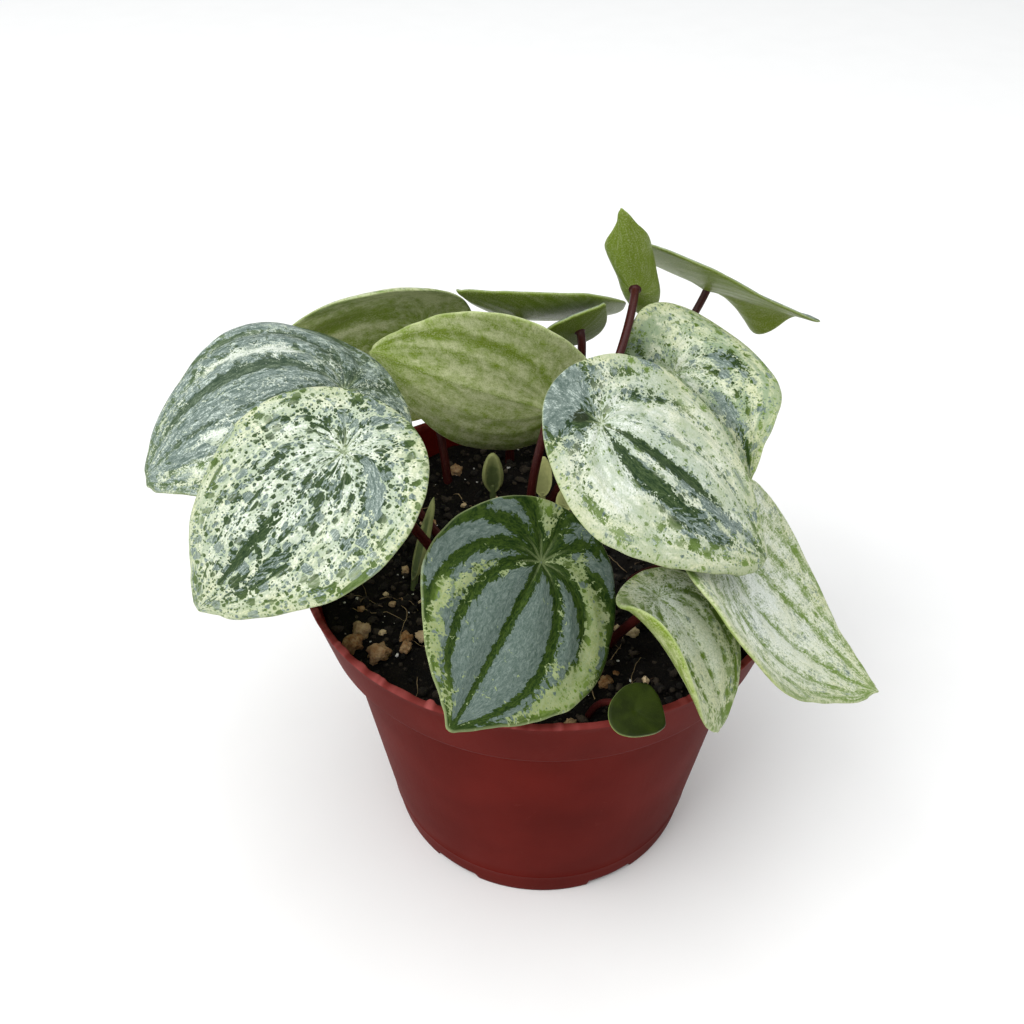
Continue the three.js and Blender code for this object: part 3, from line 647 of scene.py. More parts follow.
def blade_parts(leaf, seed, settings, rings, spokes):
    """Points, faces and values of one blade, both faces, in the row frame, in mm."""
    thickness = leaf["thickness"] or settings.thickness / MM
    inner = np.linspace(0, LAST_EVEN_RING, rings - len(MARGIN_RINGS))[1:]
    rho_line = np.concatenate([inner, MARGIN_RINGS])
    psi_line = np.linspace(-math.pi, math.pi, spokes, endpoint=False)
    rho, psi = np.meshgrid(rho_line, psi_line, indexing="ij")
    across, along = flat_outline(leaf, rho, psi)
    angle, nearest, distance = vein_place(leaf, across, along)
    small = leaf["length"] / USUAL_LENGTH
    wave = np.array([margin_wave(turn, seed) for turn in psi_line])
    surface = blade_surface(leaf, rho * (1 + settings.margin_wave * wave[:, 0] * rho ** 4), psi)
    normals = surface_normals(surface)
    surface = surface + normals * (MARGIN_RISE * small * wave[:, 1] * rho ** 6)[..., None]
    off_vein = 1 - np.exp(-((nearest / (SWELL_FROM_VEIN * small)) ** 2))
    swell = settings.quilting / MM * small ** 2 * off_vein
    swell *= (1 - rho ** 6) * (1 - np.exp(-distance / (SWELL_FROM_NAVEL * small)))
    dip = settings.dimple / MM * small
    hollow = dip * np.exp(-((distance / (DIMPLE_RADIUS * small)) ** 2))
    on_vein = np.exp(-((nearest / VEIN_WIDTH) ** 2))
    furrow = FURROW_DEPTH * small ** 2 * on_vein * np.exp(-distance / (FURROW_REACH * small))
    rib = RIB_HEIGHT * small * on_vein * np.exp(-distance / (RIB_REACH * small)) * (1 - rho ** 8)
    past = np.maximum(rho - MARGIN_START, 0) / (1 - MARGIN_START)
    half = thickness / 2 * np.sqrt(np.clip(1 - past ** 2, 0, 1))
    upper = surface + normals * (swell - hollow - furrow + half)[..., None]
    lower = surface + normals * (LOWER_SWELL * swell - hollow - half - rib)[..., None]
    green, silver = markings(leaf, angle, distance, nearest, rho)
    turn = np.radians(angle)
    drift = np.array(GRAIN_DRIFT) * float(seed)
    grain = np.stack([
        leaf["streak"] * np.sin(turn), leaf["streak"] * np.cos(turn), distance * leaf["along"],
    ], -1) + drift
    moods = (leaf["cells"], leaf["wash"], leaf["frost"])
    mood = np.broadcast_to(moods, (*rho.shape, 3))
    finer = 1 + 5 / (distance + 3)
    corner = tuple(seed * step for step in PLACE_DRIFT)
    place = np.stack([across * finer, along * finer, np.zeros_like(across)], -1) + corner
    middle_up = normals[0].mean(axis=0)
    middle_up /= np.linalg.norm(middle_up)
    middle = blade_surface(leaf, np.array(0.0), np.array(0.0))
    points = np.concatenate([
        [middle + middle_up * (thickness / 2 - dip)], upper.reshape(-1, 3),
        [middle - middle_up * (thickness / 2 + dip)], lower[:-1].reshape(-1, 3),
    ])
    points = points @ leaf["axes"] + np.array(leaf["navel"])
    count = len(rho_line)

    def both(field, at_navel):
        """A field's values in the order of the points, which share the outermost ring."""
        flat = np.asarray(field).reshape(-1, *np.shape(field)[2:])
        start = np.asarray([at_navel], flat.dtype)
        return np.concatenate([start, flat, start, flat[:-spokes]])

    under = np.concatenate([np.zeros(1 + count * spokes), np.ones(1 + (count - 1) * spokes)])
    under[1 + (count - 1) * spokes:1 + count * spokes] = 0.5
    values = {
        "grain": both(grain, drift),
        "place": both(place, corner),
        "veins": both(np.stack([nearest / small, distance / small, rho], -1), (0, 0, 0)),
        "mood": both(mood, moods),
        "ripe": both(np.full_like(rho, leaf["ripe"]), leaf["ripe"]),
        "tint": np.column_stack([both(green, leaf["green"]), both(silver, leaf["silver"]), under]),
    }
    faces = []
    lower_start = 1 + count * spokes

    def index(face, ring, spoke):
        """Number of a point of the upper face, 0, or the lower one, 1."""
        first = 1 if face == 0 or ring == count - 1 else lower_start + 1
        return first + ring * spokes + spoke % spokes

    for spoke in range(spokes):
        faces.append((0, index(0, 0, spoke + 1), index(0, 0, spoke)))
        faces.append((lower_start, index(1, 0, spoke), index(1, 0, spoke + 1)))
        for ring in range(count - 1):
            for face in (0, 1):
                a, b = index(face, ring, spoke), index(face, ring, spoke + 1)
                c, d = index(face, ring + 1, spoke + 1), index(face, ring + 1, spoke)
                faces.append((a, b, c, d) if face == 0 else (a, d, c, b))
    return points, faces, values


def navel_direction(leaf):
    """Normal of the blade at its navel, in the row frame."""
    spokes = np.linspace(-math.pi, math.pi, 16, endpoint=False)
    grid = blade_surface(leaf, *np.meshgrid((0.04, 0.08), spokes, indexing="ij"))
    normal = surface_normals(grid)[0].mean(axis=0)
    return (normal / np.linalg.norm(normal)) @ leaf["axes"]


def stalk_path(leaf, overlap, steps):
    """Points of the stalk from its foot in the soil to the blade, on the part's own curve."""
    normal = navel_direction(leaf)
    half = (leaf["thickness"] or BLADE_THICKNESS) / 2
    top = np.array(leaf["navel"]) + normal * (overlap - half - STALK_GAP)
    foot = np.array([*leaf["foot"], SOIL_LEVEL - HOLE_DEPTH + TOUCH_GAP])
    lean = (top - foot) * FOOT_LEAN
    rise = foot + lean * np.array([FOOT_LEAN, FOOT_LEAN, 1])
    if leaf["rise"]:
        rise = np.array(leaf["rise"], float)
    arrive = top - normal * leaf["approach"]
    t = np.linspace(0, 1, steps)[:, None]
    curve = (1 - t) ** 3 * foot + 3 * (1 - t) ** 2 * t * rise
    return curve + 3 * (1 - t) * t ** 2 * arrive + t ** 3 * top, normal


# Materials

# Settings that many nodes share. A Mix node takes its share at input 0 and its colours at 6 and
# 7, or its numbers at 2 and 3.
TIMES = {"operation": "MULTIPLY"}
PLUS = {"operation": "ADD"}
MINUS = {"operation": "SUBTRACT"}
TIMES_PLUS = {"operation": "MULTIPLY_ADD"}
COLOURS = {"data_type": "RGBA"}
SMOOTH = {"interpolation_type": "SMOOTHSTEP"}


def leaf_material(settings):
    """Living leaf: a waxy skin over green, silver and cream tissue, paler and duller below.

    Chlorophyll gives dark green, air under the skin turns it silver, and tissue without
    chlorophyll shows cream, or white where it has air too.
    """
    material, add = new_material("waxy_leaf_skin")
    grain, place, *fields = (
        add("Attribute", attribute_name=name).outputs["Vector"]
        for name in ("grain", "place", "veins", "tint", "mood")
    )
    (nearest, distance, rho), (green, silver, under), (cellular, wash, frost) = (
        add("SeparateXYZ", (field,)).outputs for field in fields
    )
    ripe = add("Attribute", attribute_name="ripe").outputs["Fac"]

    # Flecks of green: long ones that follow the veins, and round ones 1.5 and 0.7 mm across with
    # a lace of paler tissue between them
    wander = add("TexNoise", {"Vector": grain, "Scale": 0.6, "Detail": 3.0}).outputs["Color"]
    crooked = add("VectorMath", (wander, (2.2, 2.2, 2.2), grain), **TIMES_PLUS)
    stray = add("TexNoise", {"Vector": place, "Scale": 0.5, "Detail": 2.0}).outputs["Color"]
    strayed = add("VectorMath", (stray, (1.0, 1.0, 0.0), place), **TIMES_PLUS)
    ragged, streaks, feather, veil, blurred, specks, blotch, skin = (
        add("TexNoise", {"Vector": domain, "Scale": scale, "Detail": detail, "Roughness": rough})
        for domain, scale, detail, rough in (
            (crooked, 0.3, 4.0, 0.6), (crooked, 0.5, 7.0, 0.72), (crooked, 0.9, 5.0, 0.7),
            (crooked, 0.2, 6.0, 0.75), (crooked, 0.22, 6.0, 0.75), (strayed, 2.2, 3.0, 0.7),
            (strayed, 0.3, 7.0, 0.75), (place, 2.6, 2.0, 0.7),
        )
    )
    clouds = add("TexNoise", {"Vector": place, "Scale": 0.16, "Detail": 3.0})
    share = add("Math", (ragged, 1.4, add("Math", (green, 0.62), **MINUS)), **TIMES_PLUS)
    closing = add("MapRange", (share, 0.95, 1.35, 0.0, 0.3))
    flecks, kind, young, network = -1.0, 0.0, 0.0, 0.0
    for size, weight, domain, lace in (
        (3.6, 0.88, crooked, -1.0), (3.0, 0.95, strayed, 0.12), (1.4, 0.9, strayed, 0.08),
        (0.7, 0.8, strayed, -1.0),
    ):
        shape = {"Vector": domain, "Scale": 1 / size}
        flat = {} if domain is crooked else {"voronoi_dimensions": "2D"}
        cell = add("TexVoronoi", shape, **flat)
        chance = add("SeparateColor", (cell.outputs["Color"],)).outputs
        gap = add("Math", (cell.outputs["Distance"], -1.6, chance[0]), **TIMES_PLUS)
        gap = add("Math", (gap, 1.0), **MINUS)
        level = add("Math", (share, weight, gap), **TIMES_PLUS)
        if lace > 0:
            border = add("TexVoronoi", shape, feature="DISTANCE_TO_EDGE", **flat)
            inside = add("Math", (border, size, closing), **TIMES_PLUS)
            inside = add("Math", (inside, lace), **MINUS)
            level = add("Math", (level, inside), operation="MINIMUM")
            width = add("Math", (border, size), **TIMES)
            lines = add("MapRange", (width, 0.04, 0.2, 1.0, 0.0))
            network = add("Math", (network, lines), operation="MAXIMUM")
        wins = add("Math", (level, flecks), operation="GREATER_THAN")
        kind = add("Mix", {0: wins, 2: kind, 3: chance[1]})
        young = add("Mix", {0: wins, 2: young, 3: chance[2]})
        flecks = add("Math", (level, flecks), operation="MAXIMUM")
    streaked = add("Math", (streaks, 3.0, add("Math", (green, 2.0), **MINUS)), **TIMES_PLUS)
    pigment = add("Mix", {0: cellular, 2: streaked, 3: flecks})
    specks = add("Math", (specks, 0.5), **MINUS)
    specks = add("Math", (specks, add("MapRange", (cellular, 0.5, 1.0, 1.5, 0.2))), **TIMES)
    pigment = add("Math", (pigment, specks), **PLUS)
    deep = add("MapRange", {
        0: pigment, 1: add("MapRange", (ripe, 0.0, 1.0, -0.3, -0.02)),
        2: add("MapRange", (ripe, 0.0, 1.0, 0.35, 0.05)),
    }, **SMOOTH)
    young = add("Math", (add("MapRange", (young, 0.1, 0.7, 0.6, 0.0)), cellular), **TIMES)
    young = add("Math", (young, add("MapRange", (share, 0.7, 1.0, 1.0, 0.0))), **TIMES)
    grown = add("Math", (deep, add("Math", (1.0, young), **MINUS)), **TIMES)
    fringe = add("MapRange", (pigment, -0.3, 0.0), **SMOOTH)

    # Silver keeps off the veins with a feathered edge, and turns whole flecks blue-grey
    oblique = add("Math", (nearest, -1.3, distance), **TIMES_PLUS)
    turned = add("SeparateXYZ", (grain,)).outputs
    branch = add("CombineXYZ", [
        add("Math", (part, size), **TIMES)
        for part, size in ((oblique, 1.1), (turned[0], 0.25), (turned[1], 0.25))
    ])
    branch = add("TexNoise", {"Vector": branch, "Scale": 1.0, "Detail": 3.0, "Roughness": 0.65})
    airy = add("Math", (feather, 1.7, add("Math", (silver, 2.15), **MINUS)), **TIMES_PLUS)
    airy = add("Math", (branch, 1.6, airy), **TIMES_PLUS)
    fleck_kind = add("Math", (add("Math", (kind, 0.5), **MINUS), cellular), **TIMES)
    loose = add("MapRange", (share, 0.95, 1.25, 1.0, 0.0))
    airy = add("Math", (add("Math", (fleck_kind, loose), **TIMES), 1.9, airy), **TIMES_PLUS)
    least = add("Math", (frost, 0.5, -0.3), **TIMES_PLUS)
    air = add("MapRange", {0: airy, 1: -0.08, 2: 0.1, 3: least, 4: 1.0}, **SMOOTH)

    # Fine fibres of air, 0.2 mm in the leaf, are drawn 0.4 mm wide so that they show
    fibre = add("VectorMath", (crooked, (1.6, 1.6, 0.9)), **TIMES)
    fibre = add("TexNoise", {"Vector": fibre, "Scale": 1.0, "Detail": 4.0, "Roughness": 0.72})

    # Green tissue, younger at the margin, and plain dark green where there is no pattern
    margin = add("Math", (add("MapRange", (rho, 0.7, 1.0, 0.0, 0.7)),
                          add("MapRange", (green, 0.6, 1.2, 1.0, 0.0))), **TIMES)
    unripe = add("Math", (margin, add("MapRange", (green, 0.25, 0.8, -0.5, 0.5))), **MINUS)
    unripe = add("Math", (fibre, 1.2, unripe), **TIMES_PLUS)
    mature = add("Math", (ripe, unripe), use_clamp=True, **MINUS)
    green_tissue = add("Mix", {0: mature, 6: tuple(settings.young_green),
                               7: tuple(settings.green)}, **COLOURS)
    plain = add("MapRange", (green, 1.6, 1.75))
    plain_tissue = add("Mix", {0: add("MapRange", (clouds, 0.4, 0.62)), 6: srgb("#1e2806"),
                               7: srgb("#2b370a")}, **COLOURS)
    green_tissue = add("Mix", {0: plain, 6: green_tissue, 7: plain_tissue}, **COLOURS)

    # Silver tissue
    silvered = add("MapRange", (fibre, 0.34, 0.68))
    silvered = add("Math", (silvered, add("MapRange", (frost, 0.0, 1.0, 0.55, 1.0))), **TIMES)
    silver_tissue = add("Mix", {0: silvered, 6: tuple(settings.silver),
                                7: tuple(settings.pale_silver)}, **COLOURS)
    frosted = add("Math", (skin, 0.7, fibre), **TIMES_PLUS)
    frosted = add("Math", (add("MapRange", (frosted, 0.86, 1.08), **SMOOTH), frost), **TIMES)
    silver_tissue = add("Mix", {0: frosted, 6: silver_tissue, 7: srgb("#c9d6cb")}, **COLOURS)

    # Ground of cream and white, veiled with pale green
    creamy = add("Math", (feather, -1.3, add("Math", (rho, 1.0), **PLUS)), **TIMES_PLUS)
    creamy = add("Math", (clouds, 1.2, creamy), **TIMES_PLUS)
    creamy = add("Math", (frost, -1.2, add("Math", (creamy, 0.9), **PLUS)), **TIMES_PLUS)
    ground = add("Mix", {0: add("MapRange", (creamy, 1.2, 2.1)), 6: tuple(settings.white),
                         7: tuple(settings.cream)}, **COLOURS)
    veil = add("MapRange", (veil, 0.42, 0.58), **SMOOTH)
    bare = add("MapRange", (frost, 0.0, 0.6, 1.0, 0.0))
    yellow = add("Math", (bare, add("MapRange", (streaks, 0.4, 0.62, 0.6, 1.1))), **TIMES)
    network = add("Math", (network, add("Math", (cellular, 0.4), **TIMES)), **TIMES)
    for part, colour in (
        (add("Math", (veil, wash), **TIMES), "#869a80"), (yellow, "#84944a"),
        (add("MapRange", (skin, 0.5, 0.7, 0.0, 0.6)), "#98a884"), (network, "#9db08c"),
        (add("MapRange", (rho, 0.85, 1.0, 0.0, 0.3)), "#a3aa74"),
        (add("Math", (fringe, 0.3), **TIMES), "#7f985f"),
    ):
        ground = add("Mix", {0: part, 6: ground, 7: srgb(colour)}, **COLOURS)
    living = add("Mix", {0: air, 6: green_tissue, 7: silver_tissue}, **COLOURS)
    upper = add("Mix", {0: grown, 6: ground, 7: living}, **COLOURS)

    # Pale veins show as a star round the navel
    star = add("MapRange", (nearest, 0.08, 0.3, 1.0, 0.0), **SMOOTH)
    for part in (
        add("MapRange", (distance, 0.8, 6.0, 0.9, 0.0)),
        add("MapRange", (fibre, 0.4, 0.6, 0.3, 1.0)),
        add("MapRange", (silver, 0.3, 1.0, 0.7, 0.45)),
    ):
        star = add("Math", (star, part), **TIMES)
    patterned = add("Math", (1.0, plain), **MINUS)
    star = add("Math", (star, patterned), use_clamp=True, **TIMES)
    upper = add("Mix", {0: star, 6: upper, 7: srgb("#9aa876")}, **COLOURS)

    # From below the pattern shows blurred through the spongy tissue; its paler colours are partly
    # the tissue's own, partly painted light shining through the blade
    shaded = add("Math", (green, 2.2), **MINUS)
    for part, amount in ((blurred, 1.3), (blotch, 2.2)):
        shaded = add("Math", (part, amount, shaded), **TIMES_PLUS)
    shaded = add("Math", (skin, 0.8, add("Math", (shaded, 0.4), **MINUS)), **TIMES_PLUS)
    below = add("Mix", {0: add("MapRange", (shaded, -0.4, 0.45), **SMOOTH),
                        6: tuple(settings.pale_underside), 7: tuple(settings.underside)}, **COLOURS)
    marbled = add("Math", (streaks, 0.25, add("Math", (skin, 0.3), **TIMES)), **TIMES_PLUS)
    for part, colour in (
        (add("MapRange", (nearest, 0.1, 0.5, 0.2, 0.0), **SMOOTH), "#6d8030"),
        (add("MapRange", (marbled, 0.27, 0.34, 0.0, 0.7)), "#c6cc9c"),
        (add("MapRange", (skin, 0.34, 0.5, 0.6, 0.0)), "#5d6f28"),
        (add("MapRange", (green, 0.6, 1.1, 0.0, 0.5)), "#5a6624"),
    ):
        below = add("Mix", {0: part, 6: below, 7: srgb(colour)}, **COLOURS)
    faced = add("Mix", {0: add("MapRange", (under, 0.3, 0.7)), 6: upper, 7: below}, **COLOURS)
    # Painted highlight: a pale band along the margin stands in for light catching the blade's edge
    rim = add("MapRange", (rho, 0.985, 0.998, 0.0, 0.4))
    rim = add("Math", (rim, add("MapRange", (plain, 0.0, 1.0, 1.0, 0.3))), **TIMES)
    faced = add("Mix", {0: rim, 6: faced, 7: srgb("#b3bf8a")}, **COLOURS)
    bump = add("Bump", {"Height": skin, "Strength": 0.35, "Distance": 0.00016})
    shader = add("BsdfPrincipled", {
        "Base Color": faced, "Roughness": add("MapRange", (air, 0.0, 1.0, 0.42, 0.36)),
        "IOR": 1.4, "Specular IOR Level": 0.14, "Normal": bump,
    })
    add("OutputMaterial", {"Surface": shader})
    return material


def stalk_material(settings):
    """Fleshy red leaf stalk: smooth moist skin with darker and browner streaks along it."""
    material, add = new_material("fleshy_red_stalk")
    run = add("Attribute", attribute_name="run").outputs["Vector"]
    stretched = add("Mapping", {"Vector": run, "Scale": (2.2, 2.2, 0.12)})
    streaks = add("TexNoise", {"Vector": stretched, "Scale": 2.0, "Detail": 4.0})
    spots = add("TexNoise", {"Vector": run, "Scale": 3.5, "Detail": 2.0})
    colour = add("Mix", {0: streaks, 6: srgb("#250c0c"), 7: tuple(settings.stalk)}, **COLOURS)
    colour = add("Mix", {0: add("MapRange", (spots, 0.55, 0.75, 0.0, 0.35)), 6: colour,
                         7: srgb("#6b4a38")}, **COLOURS)
    bump = add("Bump", {"Height": streaks, "Strength": 0.3, "Distance": 0.0002})
    shader = add("BsdfPrincipled", {
        "Base Color": colour, "Roughness": 0.36, "IOR": 1.4, "Specular IOR Level": 0.35,
        "Normal": bump,
    })
    add("OutputMaterial", {"Surface": shader})
    return material


def sprout_material():
    """Young leaf without its colour yet: olive inside, paler at its edges, soft and moist."""
    material, add = new_material("pale_young_leaf")
    where = add("TexCoord").outputs["Object"]
    pale, edge = add(
        "SeparateXYZ", (add("Attribute", attribute_name="youth").outputs["Vector"],)).outputs[:2]
    clouds = add("TexNoise", {"Vector": where, "Scale": 420.0, "Detail": 3.0})
    fine = add("TexNoise", {"Vector": where, "Scale": 2200.0, "Detail": 2.0})
    paleness = add("Math", (clouds, 0.9, add("Math", (pale, 0.55), **MINUS)), **TIMES_PLUS)
    outer = add("MapRange", (edge, 0.55, 1.0, 0.0, 0.6))
    paleness = add("Math", (paleness, outer), use_clamp=True, **PLUS)
    colour = add("Mix", {0: paleness, 6: srgb("#4f5c38"), 7: srgb("#c3c583")}, **COLOURS)
    colour = add("Mix", {0: add("MapRange", (fine, 0.0, 1.0, 0.0, 0.3)), 6: colour,
                         7: srgb("#6f7a3c")}, **COLOURS)
    bump = add("Bump", {"Height": fine, "Strength": 0.3, "Distance": 0.0002})
    shader = add("BsdfPrincipled", {
        "Base Color": colour, "Roughness": 0.45, "IOR": 1.4, "Specular IOR Level": 0.35,
        "Normal": bump,
    })
    add("OutputMaterial", {"Surface": shader})
    return material


def plastic_material(settings):
    """Injection-moulded polypropylene: satin, even colour, with scuffs, dust and draw lines."""
    material, add = new_material("moulded_polypropylene")
    where = add("TexCoord").outputs["Object"]
    stretched = add("Mapping", {"Vector": where, "Scale": (1.0, 1.0, 0.08)})
    draw = add("TexNoise", {"Vector": stretched, "Scale": 900.0, "Detail": 3.0})
    clouds = add("TexNoise", {"Vector": where, "Scale": 45.0, "Detail": 4.0})
    skin = add("TexNoise", {"Vector": where, "Scale": 2600.0, "Detail": 2.0})
    scuffs = add("TexNoise", {"Vector": where, "Scale": 160.0, "Detail": 6.0, "Roughness": 0.75,
                              "Distortion": 1.2})
    mixed = add("Mix", {0: add("MapRange", (clouds, 0.3, 0.7)), 6: tuple(settings.plastic),
                        7: tuple(settings.worn_plastic)}, **COLOURS)
    marks = add("MapRange", (scuffs, 0.64, 0.76), **SMOOTH)
    mixed = add("Mix", {0: add("Math", (marks, 0.25), **TIMES), 6: mixed,
                        7: srgb("#8d564f")}, **COLOURS)
    # Lighter pink on the lip: partly painted highlight along the whole lip top, partly paler flash
    # and nicks
    lip_sheen_and_nicks = add("Attribute", attribute_name="lip_sheen_and_nicks").outputs["Fac"]
    mixed = add("Mix", {0: lip_sheen_and_nicks, 6: mixed, 7: srgb("#9c4f4c")}, **COLOURS)
    rough = add("MapRange", (clouds, 0.0, 1.0, 0.42, 0.56))
    rough = add("Math", (marks, 0.15, rough), **TIMES_PLUS)
    height = add("Math", (draw, 0.6, add("Math", (skin, 0.4), **TIMES)), **TIMES_PLUS)
    bump = add("Bump", {"Height": height, "Strength": 0.18, "Distance": 0.0003})
    shader = add("BsdfPrincipled", {
        "Base Color": mixed, "Roughness": rough, "IOR": 1.4, "Specular IOR Level": 0.03,
        "Normal": bump,
    })
    add("OutputMaterial", {"Surface": shader})
    return material


def peat_material():
    """Damp peat mix: nearly black, matte, with brown crumbs and a few moist glints."""
    material, add = new_material("damp_peat")
    where = add("TexCoord").outputs["Object"]
    clods = add("TexNoise", {"Vector": where, "Scale": 350.0, "Detail": 6.0})
    dust = add("TexNoise", {"Vector": where, "Scale": 1500.0, "Detail": 4.0, "Roughness": 0.7})
    colour = add("Mix", {0: add("MapRange", (clods, 0.35, 0.7)), 6: srgb("#080706"),
                         7: srgb("#17130f")}, **COLOURS)
    colour = add("Mix", {0: add("MapRange", (dust, 0.58, 0.76)), 6: colour, 7: srgb("#3b342b")},
                 **COLOURS)
    bump = add("Bump", {"Height": dust, "Strength": 0.8, "Distance": 0.0006})
    shader = add("BsdfPrincipled", {
        "Base Color": colour, "Roughness": add("MapRange", (clods, 0.0, 1.0, 0.65, 0.95)),
        "Specular IOR Level": 0.12, "Normal": bump,
    })
    add("OutputMaterial", {"Surface": shader})
    return material


def grain_material(name, dark, light, roughness):
    """Porous grain or dry root: matte and pitted, its tone changing from piece to piece."""
    material, add = new_material(name)
    where = add("TexCoord").outputs["Object"]
    tone = add("Attribute", attribute_name="tone").outputs["Fac"]
    pits = add("TexVoronoi", {"Vector": where, "Scale": 2400.0}).outputs["Distance"]
    clouds = add("TexNoise", {"Vector": where, "Scale": 900.0, "Detail": 5.0})
    shade = add("MapRange", (tone, 0.0, 1.0, -0.25, 0.55))
    shade = add("Math", (clouds, 0.8, shade), **TIMES_PLUS)
    colour = add("Mix", {0: add("MapRange", (shade, 0.1, 0.9)), 6: srgb(dark), 7: srgb(light)},
                 **COLOURS)
    height = add("Math", (pits, 0.5, clouds), **TIMES_PLUS)
    bump = add("Bump", {"Height": height, "Strength": 0.8, "Distance": 0.0005})
    shader = add("BsdfPrincipled", {
        "Base Color": colour, "Roughness": roughness, "Specular IOR Level": 0.3, "Normal": bump,
    })
    add("OutputMaterial", {"Surface": shader})
    return material


# Pot

def pot_radius(z):
    """Outer radius of the pot's body below the shoulder."""
    return BASE_RADIUS + (SHOULDER_RADIUS - BASE_RADIUS) * (z / SHOULDER_BOTTOM)


def band_radius(z):
    """Outer radius of the rim band."""
    return BAND_LOWER_RADIUS + (RIM_RADIUS - BAND_LOWER_RADIUS) * ((z - BAND_BOTTOM) / BAND_HEIGHT)


def slope(radius_at, low, high, count):
    """Points on a sloping wall, from one height to another."""
    return [(radius_at(z), z) for z in np.linspace(low, high, count)]


def pot_profile():
    """Outline of the wall, from the middle of the underside round to the middle of the floor."""
    foot_inner = BASE_RADIUS - FOOT_RING_WIDTH
    lip = LIP_ROUNDING
    points = [(0, FLOOR_UNDERSIDE), (20, FLOOR_UNDERSIDE), (foot_inner - 0.5, FLOOR_UNDERSIDE)]
    points += [(foot_inner - 0.1, FLOOR_UNDERSIDE - 0.15), (foot_inner, FLOOR_UNDERSIDE - 0.5)]
    points += [(foot_inner, 0.3), (foot_inner + 0.2, 0.05), (foot_inner + 0.5, 0)]
    points += [(BASE_RADIUS - 0.6, 0), (BASE_RADIUS - 0.2, 0.1), (BASE_RADIUS, 0.5)]
    points += slope(pot_radius, 1.5, SEAM_HEIGHT - 1.2 * SEAM_RISE, 5)
    for part in (-0.6, 0, 0.6):
        z = SEAM_HEIGHT + part * SEAM_RISE
        points.append((pot_radius(z) + 0.3 * SEAM_RISE * (1 - abs(part)), z))
    points += slope(pot_radius, SEAM_HEIGHT + 1.2 * SEAM_RISE, SHOULDER_BOTTOM - 0.6, 22)
    step = BAND_LOWER_RADIUS - SHOULDER_RADIUS
    for part in (0, 0.12, 0.35, 0.65, 0.88, 1):
        height = SHOULDER_BOTTOM + SHOULDER_RISE * (1 - math.cos(math.pi * part)) / 2
        points.append((SHOULDER_RADIUS + step * part, height))
    points += slope(band_radius, BAND_BOTTOM + 0.5, POT_TOP - 1, 9)
    points += [(RIM_RADIUS, POT_TOP - lip), (RIM_RADIUS - lip * 0.35, POT_TOP - lip * 0.3)]
    points += [(RIM_RADIUS - lip, POT_TOP), (RIM_RADIUS - WALL + lip * 0.6, POT_TOP)]
    points += [(RIM_RADIUS - WALL + 0.05, POT_TOP - 0.15), (RIM_RADIUS - WALL, POT_TOP - lip)]
    inside = slope(band_radius, POT_TOP - 1.5, BAND_BOTTOM + WALL, 5)
    points += [(radius - WALL, z) for radius, z in inside]
    points.append((SHOULDER_RADIUS - WALL, SHOULDER_BOTTOM + WALL * 0.4))
    points.append((pot_radius(FLOOR_TOP) - WALL, FLOOR_TOP))
    points += [(DRAIN_CIRCLE_RADIUS, FLOOR_TOP), (0, FLOOR_TOP)]
    return points


def channel_depth(turn):
    """How far a foot channel lifts the foot ring at an angle, from 0 to 1."""
    pitch = 360 / FEET
    away = (math.degrees(turn) - FIRST_CHANNEL_DEGREES + pitch / 2) % pitch - pitch / 2
    half = math.degrees(CHANNEL_WIDTH / 2 / (BASE_RADIUS - FOOT_RING_WIDTH / 2))
    return 1 - float(np.clip((abs(away) - half) / 0.8, 0, 1))


def lip_flash(degrees):
    """How much moulding flash stands on the lip at an angle, from 0 to about 1."""
    total = 0.0
    for at, width, height in LIP_FLASH:
        away = (degrees - at + 180) % 360 - 180
        total += height * math.exp(-((away / width) ** 4))
    return total


def drilled(piece):
    """Cuts the drain holes through the pot's floor."""
    for k in range(FEET):
        turn = math.radians(FIRST_CHANNEL_DEGREES + k * 360 / FEET)
        bpy.ops.mesh.primitive_cylinder_add(
            vertices=32, radius=DRAIN_DIAMETER / 2 * MM, depth=4 * FLOOR_THICKNESS * MM,
            location=Vector((
                DRAIN_CIRCLE_RADIUS * math.cos(turn), DRAIN_CIRCLE_RADIUS * math.sin(turn),
                FLOOR_TOP,
            )) * MM,
        )
        drill = bpy.context.active_object
        cut = piece.modifiers.new("drain", "BOOLEAN")
        cut.operation = "DIFFERENCE"
        cut.solver = "EXACT"
        cut.object = drill
        bpy.context.view_layer.objects.active = piece
        bpy.ops.object.modifier_apply(modifier=cut.name)
        bpy.data.objects.remove(drill)


